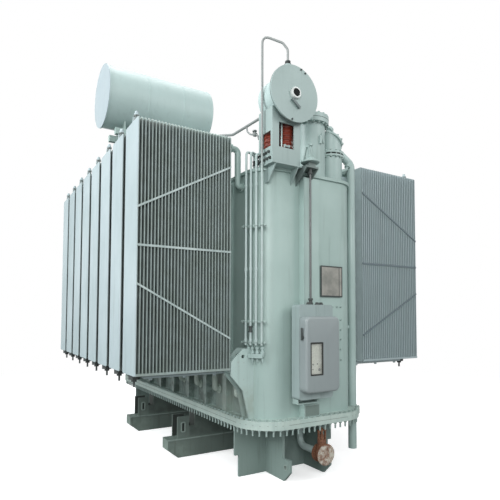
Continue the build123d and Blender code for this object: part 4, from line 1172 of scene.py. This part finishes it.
flat_flange(bm, at(0.918, -2.832, 4.836), (0.53, 0.05, 0.85), 0.05, 0.018)
fitted(piece_from(bm, "angled_turret_fittings", upper_paint))
bolt_ring("angled_foot_bolts", (*angled_place, 0), 0.207, 12, cover_top + 0.024,
          cover_top + 0.02, head=0.032, height=0.022, proud=0.0, material=dark_iron)

# Drive of the tap changer: bevel gear on its bracket under a bolted round cover with a wire
# loop, darkened with painted shade under the cover, a dull steel shaft down the wall, and
# clamped couplings at both ends of the shaft.
shaft_steel = iron("dull_shaft_steel", (0.1, 0.105, 0.105, 1), rust=0.0, roughness=0.34,
                   metallic=0.5)
# Painted shade: the gear and its bracket are darkened as if in the shadow of the round cover.
shaded_gear_paint = enamel("gear_enamel_painted_shade", (0.17, 0.22, 0.205, 1), (0.1, 0.13, 0.125, 1), streaks=0.4,
                    specks=0.3)
coat_node("bevel_gear", shaded_gear_paint)
coat_node("drive_shaft", shaft_steel)
shaft_x = -0.205
shaft_y = -3.265
bm = bmesh.new()
for level, tall in ((2.552, 0.09), (4.43, 0.1)):
    turn_profile(bm, at(shaft_x, shaft_y, level), (0, 0, 1),
                 ((0.034, 0), (0.034, tall * 0.3), (0.026, tall * 0.34), (0.026, tall * 0.66),
                  (0.034, tall * 0.7), (0.034, tall)), sides=16)
for offset in (-0.08, 0.075, 0.145):
    turn_profile(bm, at(shaft_x + offset, shaft_y - 0.05, 2.551), (0, 0, 1),
                 ((0.034, 0), (0.034, 0.012), (0.026, 0.016), (0.026, 0.03), (0.014, 0.034)),
                 sides=10)
fitted(piece_from(bm, "shaft_couplings", dark_iron))
bm = bmesh.new()
turn_profile(bm, at(shaft_x, shaft_y, 4.592), (0, 0, 1),
             ((0.128, 0), (0.134, 0.005), (0.134, 0.02), (0.126, 0.024), (0.082, 0.025),
              (0.078, 0.05), (0.066, 0.07), (0.036, 0.08), (0.034, 0.1), (0, 0.102)), sides=36)
bolt_heads(bm, at(shaft_x, shaft_y, 4.616), (0, 0, 1), 0.106, 8, 0.022, 0.014)
sweep_pipe(bm, pipe_line([at(shaft_x - 0.055, shaft_y - 0.04, 4.655),
                          at(shaft_x - 0.012, shaft_y - 0.02, 4.85),
                          at(shaft_x + 0.012, shaft_y - 0.02, 4.85),
                          at(shaft_x + 0.055, shaft_y - 0.04, 4.655)], 0.02), 0.006, sides=8)
turn_profile(bm, at(shaft_x, shaft_y - 0.02, 4.835), (0, 0, 1),
             ((0, 0), (0.026, 0.004), (0.026, 0.03), (0, 0.034)), sides=12)
fitted(piece_from(bm, "gear_cover", upper_paint))

# Motor drive cabinet: pressed steel box and hooded door in smooth grey lacquer, a dark rubber
# seal round the window, a cream board with plain dials behind it and a dark lever handle.
CABINET_GREY = (0.262, 0.305, 0.308, 1)
CABINET_SHADE = (0.22, 0.25, 0.26, 1)
hood_paint = enamel("hood_lacquer", CABINET_GREY, CABINET_SHADE, streaks=0.12, roughness=0.3)
box_paint = enamel("cabinet_box_enamel", (0.30, 0.375, 0.37, 1), (0.2, 0.25, 0.25, 1),
                   streaks=0.5, roughness=0.4)
coat_node("motor_cabinet", box_paint)
hood_left, hood_right, hood_low, hood_high = -0.47, 0.13, 1.344, 2.384
hood_back, hood_front = -3.355, -3.505
hood_corner = 0.075
hood_edge = 0.034
hood_wall = 0.012
window_left, window_right, window_low, window_high = -0.40, -0.175, 1.58, 2.033


def hood_loop(inset, y, corner):
    """One closed line round the hood, drawn in from its widest outline."""
    return [at(x, y, z) for x, z in rounded_line(hood_left + inset, hood_right - inset,
                                                 hood_low + inset, hood_high - inset, corner)]


def window_loop(y):
    return [at(x, y, z) for x, z in rounded_line(window_left, window_right, window_low,
                                                 window_high, 0.012)]


bm = bmesh.new()
loops = [hood_loop(0, hood_back, hood_corner), hood_loop(0, hood_front + hood_edge, hood_corner)]
for step in range(1, 6):
    turn = math.radians(18 * step)
    inset = hood_edge * (1 - math.cos(turn))
    loops.append(hood_loop(inset, hood_front + hood_edge * (1 - math.sin(turn)),
                           hood_corner - inset * 0.8))
loops.append(window_loop(hood_front))
loops.append(window_loop(hood_front + hood_wall))
loops.append(hood_loop(hood_edge, hood_front + hood_wall, hood_corner - hood_edge * 0.8))
loops.append(hood_loop(hood_wall, hood_front + hood_edge + hood_wall, hood_corner - hood_wall))
loops.append(hood_loop(hood_wall, hood_back, hood_corner - hood_wall))
loft_loops(bm, loops)
hinge_axis = (0.15, -3.3525)
for level in (1.474, 2.134):
    turn_profile(bm, at(*hinge_axis, level - 0.03), (0, 0, 1),
                 ((0.011, 0), (0.014, 0.003), (0.014, 0.057), (0.011, 0.06)), sides=16)
    bevelled_block(bm, at(0.118, -3.368, level - 0.028), at(0.152, -3.3605, level + 0.028), 0.002)
for level in (1.52, 2.26):
    bevelled_block(bm, at(0.1285, -3.41, level - 0.03), at(0.142, -3.375, level + 0.03), 0.004)
fitted(piece_from(bm, "cabinet_hood", hood_paint),
       "door", stands_for=("cabinet_door",))
pane, tree, shader, coords = new_finish("clear_pane")
dust = noise(tree, coords, 12.0, 4.0)
tree.links.new(remap(tree, dust, 0.4, 0.75, 0.03, 0.16), shader.inputs["Roughness"])
tree.links.new(remap(tree, dust, 0.4, 0.75, 0.12, 0.26), shader.inputs["Alpha"])
shader.inputs["Base Color"].default_value = (0.8, 0.83, 0.8, 1)
shader.inputs["IOR"].default_value = 1.45
coat_node("door_window", pane)
board_cream = enamel("board_cream", (0.5, 0.52, 0.44, 1), (0.42, 0.44, 0.38, 1), streaks=0.08,
                     roughness=0.5)


def frame_bars(bm, left, right, low, high, front, back, width, bevel=0.003):
    """Four bars round an upright opening that faces the near end."""
    for corner_a, corner_b in (((left, low), (left + width, high)),
                               ((right - width, low), (right, high)),
                               ((left + width, low), (right - width, low + width)),
                               ((left + width, high - width), (right - width, high))):
        bevelled_block(bm, at(corner_a[0], front, corner_a[1]), at(corner_b[0], back, corner_b[1]),
                       bevel)


bm = bmesh.new()
frame_bars(bm, window_left, window_right, window_low, window_high, hood_front,
           hood_front + 0.0115, 0.021)
fitted(piece_from(bm, "window_seal", rubber), "door")
bm = bmesh.new()
turn_profile(bm, at(-0.469, -3.43, 2.10), (-1, 0, 0),
             ((0.026, 0), (0.026, 0.01), (0.014, 0.012), (0.014, 0.02)), sides=14)
bevelled_block(bm, at(-0.499, -3.446, 2.06), at(-0.484, -3.414, 2.23), 0.005, 2)
fitted(piece_from(bm, "door_lever", dark_iron), "door")
bm = bmesh.new()
bevelled_block(bm, at(-0.42, -3.318, 1.40), at(0.08, -3.306, 2.33), 0.004)
bevelled_block(bm, at(-0.425, -3.462, 1.53), at(-0.12, -3.319, 2.08), 0.008)
fitted(piece_from(bm, "instrument_board", board_cream))
bm = bmesh.new()
for x, z, radius in ((-0.215, 1.655, 0.02), (-0.325, 1.73, 0.011), (-0.25, 1.735, 0.009),
                     (-0.33, 1.66, 0.008)):
    turn_profile(bm, at(x, -3.461, z), (0, -1, 0),
                 ((radius, 0), (radius, 0.008), (radius * 0.8, 0.012)), sides=16)
bevelled_block(bm, at(-0.10, -3.39, 1.50), at(0.04, -3.319, 1.74), 0.01)
fitted(piece_from(bm, "instrument_dials", dark_iron))

# Wall fittings near the cabinet: a folded bracket under it, a rim round the open foot of the
# near channel with a dark plate of painted shadow behind it, and two rows of small studs for
# cable clips on the bare wall.
bm = bmesh.new()
bevelled_block(bm, at(-0.46, -3.30, 1.168), at(-0.09, -3.168, 1.182), 0.004)
bevelled_block(bm, at(-0.46, -3.182, 1.168), at(-0.09, -3.1755, 1.24), 0.003)
for x in (-0.445, -0.1):
    bevelled_block(bm, at(x - 0.006, -3.29, 1.168), at(x + 0.006, -3.176, 1.2355), 0.002)
frame_bars(bm, -0.249, 0.029, 0.948, 1.125, -3.181, -3.174, 0.014, 0.002)
for x in (0.2, 0.29, 0.38, 0.47, 0.545):
    turn_profile(bm, at(x, near_wall + 0.001, 2.53), (0, -1, 0),
                 ((0.014, 0), (0.014, 0.012), (0.008, 0.014), (0.008, 0.028)), sides=8)
for z in (2.33, 2.18, 2.03, 1.88, 1.72):
    turn_profile(bm, at(0.545, near_wall + 0.002, z), (0, -1, 0),
                 ((0.013, 0), (0.013, 0.012), (0.008, 0.014), (0.008, 0.026)), sides=8)
fitted(piece_from(bm, "wall_fittings", fitting_paint))
bm = bmesh.new()
# Painted shadow: a dark plate set in the open foot of the channel, where shade falls.
bevelled_block(bm, at(-0.236, -3.1775, 0.961), at(0.016, -3.173, 1.112), 0.001)
channel_shadow_green = enamel("channel_foot_shadow_enamel", (0.17, 0.225, 0.205, 1), (0.11, 0.15, 0.135, 1))
fitted(piece_from(bm, "channel_foot_shadow", channel_shadow_green))

# Oil sampling tray at the foot of the corner pipes: a curved steel ledge with a lip, four
# screwed valves with tee handles on it and short spouts under it.
bm = bmesh.new()
tray_steps = 12
tray_section = ((-0.004, 1.80), (0.095, 1.80), (0.095, 1.86), (0.085, 1.86), (0.085, 1.815),
                (-0.004, 1.815))
run_bar(bm, [[corner_point(199 + 28 * index / tray_steps, out, z) for out, z in tray_section]
             for index in range(tray_steps + 1)])
for angle in thin_angles:
    turn_profile(bm, corner_point(angle, 0.052, 1.814), (0, 0, 1),
                 ((0.026, 0), (0.032, 0.02), (0.032, 0.07), (0.02, 0.085), (0.02, 0.11),
                  (0.028, 0.112), (0.028, 0.14), (0, 0.145)), sides=14)
    sweep_pipe(bm, pipe_line([corner_point(angle, 0.052, 1.93), corner_point(angle, 0.06, 1.972),
                              corner_point(angle, thin_offset, 2.0)], 0.03), 0.014, sides=10)
    turn_profile(bm, corner_point(angle, 0.052, 1.802), (0, 0, -1),
                 ((0.015, 0), (0.015, 0.05), (0.009, 0.052), (0.009, 0.08)), sides=10)
fitted(piece_from(bm, "sampling_tray", upper_paint),
       stands_for=("sampling_box",))

# Jacking brackets and the drain: flame-cut plates on the long walls; below the near end a
# cast valve on a short pipe, its cream paint mostly gone to rust.
bracket_paint = enamel("bracket_enamel", (0.42, 0.54, 0.515, 1), TANK_GREEN, streaks=0.25,
                       specks=0.2, roughness=0.4, zones=(
                           ({"Z": (0.9, 1.35)}, (0.3, 0.36, 0.31, 1), 0.6, 0.6, 0.1),))
coat_node("jacking_brackets", bracket_paint)
coat_node("drain_pipe", pipe_white)
rusty, tree, shader, coords = new_finish("rusty_casting")
patches = noise(tree, coords, 11.0, 6.0, 0.7)
scales = noise(tree, coords, 38.0, 4.0, 0.7)
rust_tone = blend_colour(tree, remap(tree, scales, 0.4, 0.65, 0.0, 1.0), (0.12, 0.045, 0.024, 1),
                         (0.27, 0.13, 0.07, 1))
cream_share = product(tree, zone_share(tree, coords, {"Z": (0.0, 0.5), "Y": (-3.2, -3.015)}, 0.01),
                      remap(tree, patches, 0.38, 0.54, 0.05, 0.95))
mixed = blend_colour(tree, cream_share, rust_tone, (0.52, 0.5, 0.43, 1))
tree.links.new(mixed, shader.inputs["Base Color"])
tree.links.new(remap(tree, patches, 0.3, 0.7, 0.85, 0.6), shader.inputs["Roughness"])
bump = linked_node(tree, "ShaderNodeBump", {"Height": scales, "Strength": 0.8, "Distance": 0.003})
tree.links.new(bump.outputs["Normal"], shader.inputs["Normal"])
valve_x = 0.158
valve_front = -3.175
valve_z = 0.368
bm = bmesh.new()
turn_profile(bm, at(valve_x, valve_front, valve_z), (0, 1, 0),
             ((0.06, 0.012), (0.066, 0.0), (0.12, 0.0), (0.15, 0.004), (0.155, 0.009),
              (0.155, 0.03), (0.15, 0.034), (0.098, 0.036), (0.088, 0.05), (0.095, 0.08),
              (0.105, 0.105), (0.1, 0.13), (0.082, 0.15), (0.082, 0.158), (0.135, 0.16),
              (0.135, 0.183), (0, 0.184)), sides=44)
bolt_heads(bm, at(valve_x, valve_front + 0.002, valve_z), (0, -1, 0), 0.13, 8, 0.03, 0.0)
turn_profile(bm, at(valve_x, -3.066, 0.44), (0, 0, 1),
             ((0.09, 0), (0.09, 0.03), (0.078, 0.034), (0.078, 0.05), (0.05, 0.07), (0.045, 0.13),
              (0.03, 0.135), (0.03, 0.2), (0.016, 0.205), (0.016, 0.30), (0, 0.302)), sides=24)
for offset in (-0.062, 0.062):
    bevelled_block(bm, at(valve_x + offset - 0.01, -3.082, 0.47),
                   at(valve_x + offset + 0.01, -3.05, 0.70), 0.003)
bevelled_block(bm, at(0.08, -3.084, 0.69), at(0.236, -3.048, 0.715), 0.004)
fitted(piece_from(bm, "drain_valve_casting", rusty), stands_for=("drain_valve",))
bolt_ring("drain_valve_bolts", (valve_x, -3.1395, valve_z), 0.13, 8, 0.026, -0.002, head=0.028,
          height=0.01, proud=0.016, turn=(math.radians(90), 0, 0), material=rusty)

# Data plate: a bare etched plate on four studs, in a dark painted steel frame.
plate_metal, tree, shader, coords = new_finish("etched_plate")
weather = noise(tree, coords, 5.0, 5.0, 0.6)
tree.links.new(blend_colour(tree, remap(tree, weather, 0.4, 0.65, 0.0, 1.0),
                            (0.31, 0.305, 0.275, 1), (0.21, 0.215, 0.195, 1)),
               shader.inputs["Base Color"])
tree.links.new(remap(tree, weather, 0.3, 0.7, 0.45, 0.65), shader.inputs["Roughness"])
shader.inputs["Metallic"].default_value = 0.3
coat_node("data_plate", plate_metal)
bm = bmesh.new()
frame_bars(bm, 0.14, 0.568, 2.68, 3.15, -3.086, -3.068, 0.02, 0.004)
bevelled_block(bm, at(0.495, -3.085, 2.70), at(0.507, -3.081, 3.13), 0.0015)
fitted(piece_from(bm, "data_plate_frame", dark_iron))

# Floor, backdrop and light of the studio: a pale level floor that keeps the shadow, white
# behind it, and large soft lamps with the strongest on the conservator side.
floor_mesh = bpy.data.meshes.new("studio_floor")
reach = 60.0
floor_mesh.from_pydata([(-reach, -reach, 0), (reach, -reach, 0), (reach, reach, 0),
                        (-reach, reach, 0)], [], [(0, 1, 2, 3)])
floor = bpy.data.objects.new("studio_floor", floor_mesh)
bpy.context.scene.collection.objects.link(floor)
floor_finish = bpy.data.materials.new("floor_white")
floor_finish.use_nodes = True
tree = floor_finish.node_tree
tree.nodes.clear()
out = linked_node(tree, "ShaderNodeOutputMaterial")
coords = linked_node(tree, "ShaderNodeTexCoord").outputs["Object"]
away = linked_node(tree, "ShaderNodeVectorMath", {0: coords}, operation="LENGTH")
fade = remap(tree, away.outputs["Value"], 4.5, 13.0, 0.0, 1.0)
pale = linked_node(tree, "ShaderNodeBsdfDiffuse", {"Color": (0.9, 0.9, 0.9, 1)})
lift = linked_node(tree, "ShaderNodeEmission", {"Color": (1, 1, 1, 1), "Strength": 0.5})
near_floor = linked_node(tree, "ShaderNodeAddShader", {0: pale.outputs[0], 1: lift.outputs[0]})
far_floor = linked_node(tree, "ShaderNodeEmission", {"Color": (1, 1, 1, 1), "Strength": 1.0})
shown = linked_node(tree, "ShaderNodeMixShader", {0: fade, 1: near_floor.outputs[0],
                                                  2: far_floor.outputs[0]})
grey = linked_node(tree, "ShaderNodeBsdfDiffuse", {"Color": (0.3, 0.3, 0.295, 1)})
camera_ray = linked_node(tree, "ShaderNodeLightPath").outputs["Is Camera Ray"]
split = linked_node(tree, "ShaderNodeMixShader", {0: camera_ray, 1: grey.outputs[0],
                                                  2: shown.outputs[0]})
tree.links.new(split.outputs[0], out.inputs["Surface"])
floor_mesh.materials.append(floor_finish)

world = bpy.data.worlds.new("studio_world")
bpy.context.scene.world = world
world.use_nodes = True
tree = world.node_tree
tree.nodes.clear()
out = linked_node(tree, "ShaderNodeOutputWorld")
rays = linked_node(tree, "ShaderNodeLightPath")
white = linked_node(tree, "ShaderNodeBackground", {"Color": (1, 1, 1, 1), "Strength": 1.0})
soft = linked_node(tree, "ShaderNodeBackground", {"Color": (0.95, 0.98, 1, 1), "Strength": 0.5})
seen = sum_of(tree, "MAXIMUM", rays.outputs["Is Camera Ray"], rays.outputs["Is Glossy Ray"])
seen = sum_of(tree, "MAXIMUM", seen, rays.outputs["Is Transmission Ray"])
mixed = linked_node(tree, "ShaderNodeMixShader", {0: seen, 1: soft.outputs[0],
                                                  2: white.outputs[0]})
tree.links.new(mixed.outputs[0], out.inputs["Surface"])


def lamp(name, place, target, size, power, colour=(1, 1, 1)):
    """A large square soft box that faces a point of the object."""
    light = bpy.data.lights.new(name, "AREA")
    light.size = size
    light.energy = power
    light.color = colour
    holder = bpy.data.objects.new(name, light)
    holder.location = place
    holder.rotation_euler = (Vector(target) - Vector(place)).to_track_quat("-Z", "Y").to_euler()
    bpy.context.scene.collection.objects.link(holder)


lamp("left_soft_box", (-16, -0.8, 10), (0, 0, 4), 8, 2550, (0.965, 0.985, 1))
lamp("front_soft_box", (7, -16, 10), (0, -1, 3.4), 8, 700)
lamp("corner_soft_box", (-8, -14.5, 7), (0, -1, 3), 7, 1000)
lamp("back_soft_box", (13, 12, 9), (0, 0, 3), 8, 1100)
lamp("top_soft_box", (0, 2, 17), (0, 0, 3), 9, 700, (0.97, 0.99, 1))

# Camera: where the photographer stood, a little above head height at the near left corner,
# with the picture plane upright and the frame shifted up.
camera_data = bpy.data.cameras.new("photo_camera")
camera_data.lens = 33.3
camera_data.sensor_width = 36
camera_data.shift_y = 0.087
camera = bpy.data.objects.new("photo_camera", camera_data)
bpy.context.scene.collection.objects.link(camera)
camera.location = at(-4.356, -8.437, 2.398)
camera.rotation_euler = (Matrix.Rotation(math.radians(-31.28), 3, "Z")
                         @ Matrix.Rotation(math.radians(90 + 2.694), 3, "X")
                         @ Matrix.Rotation(math.radians(0.192), 3, "Z")).to_euler()
camera_data.clip_end = 200
bpy.context.scene.camera = camera
bpy.context.scene.view_settings.view_transform = "Standard"
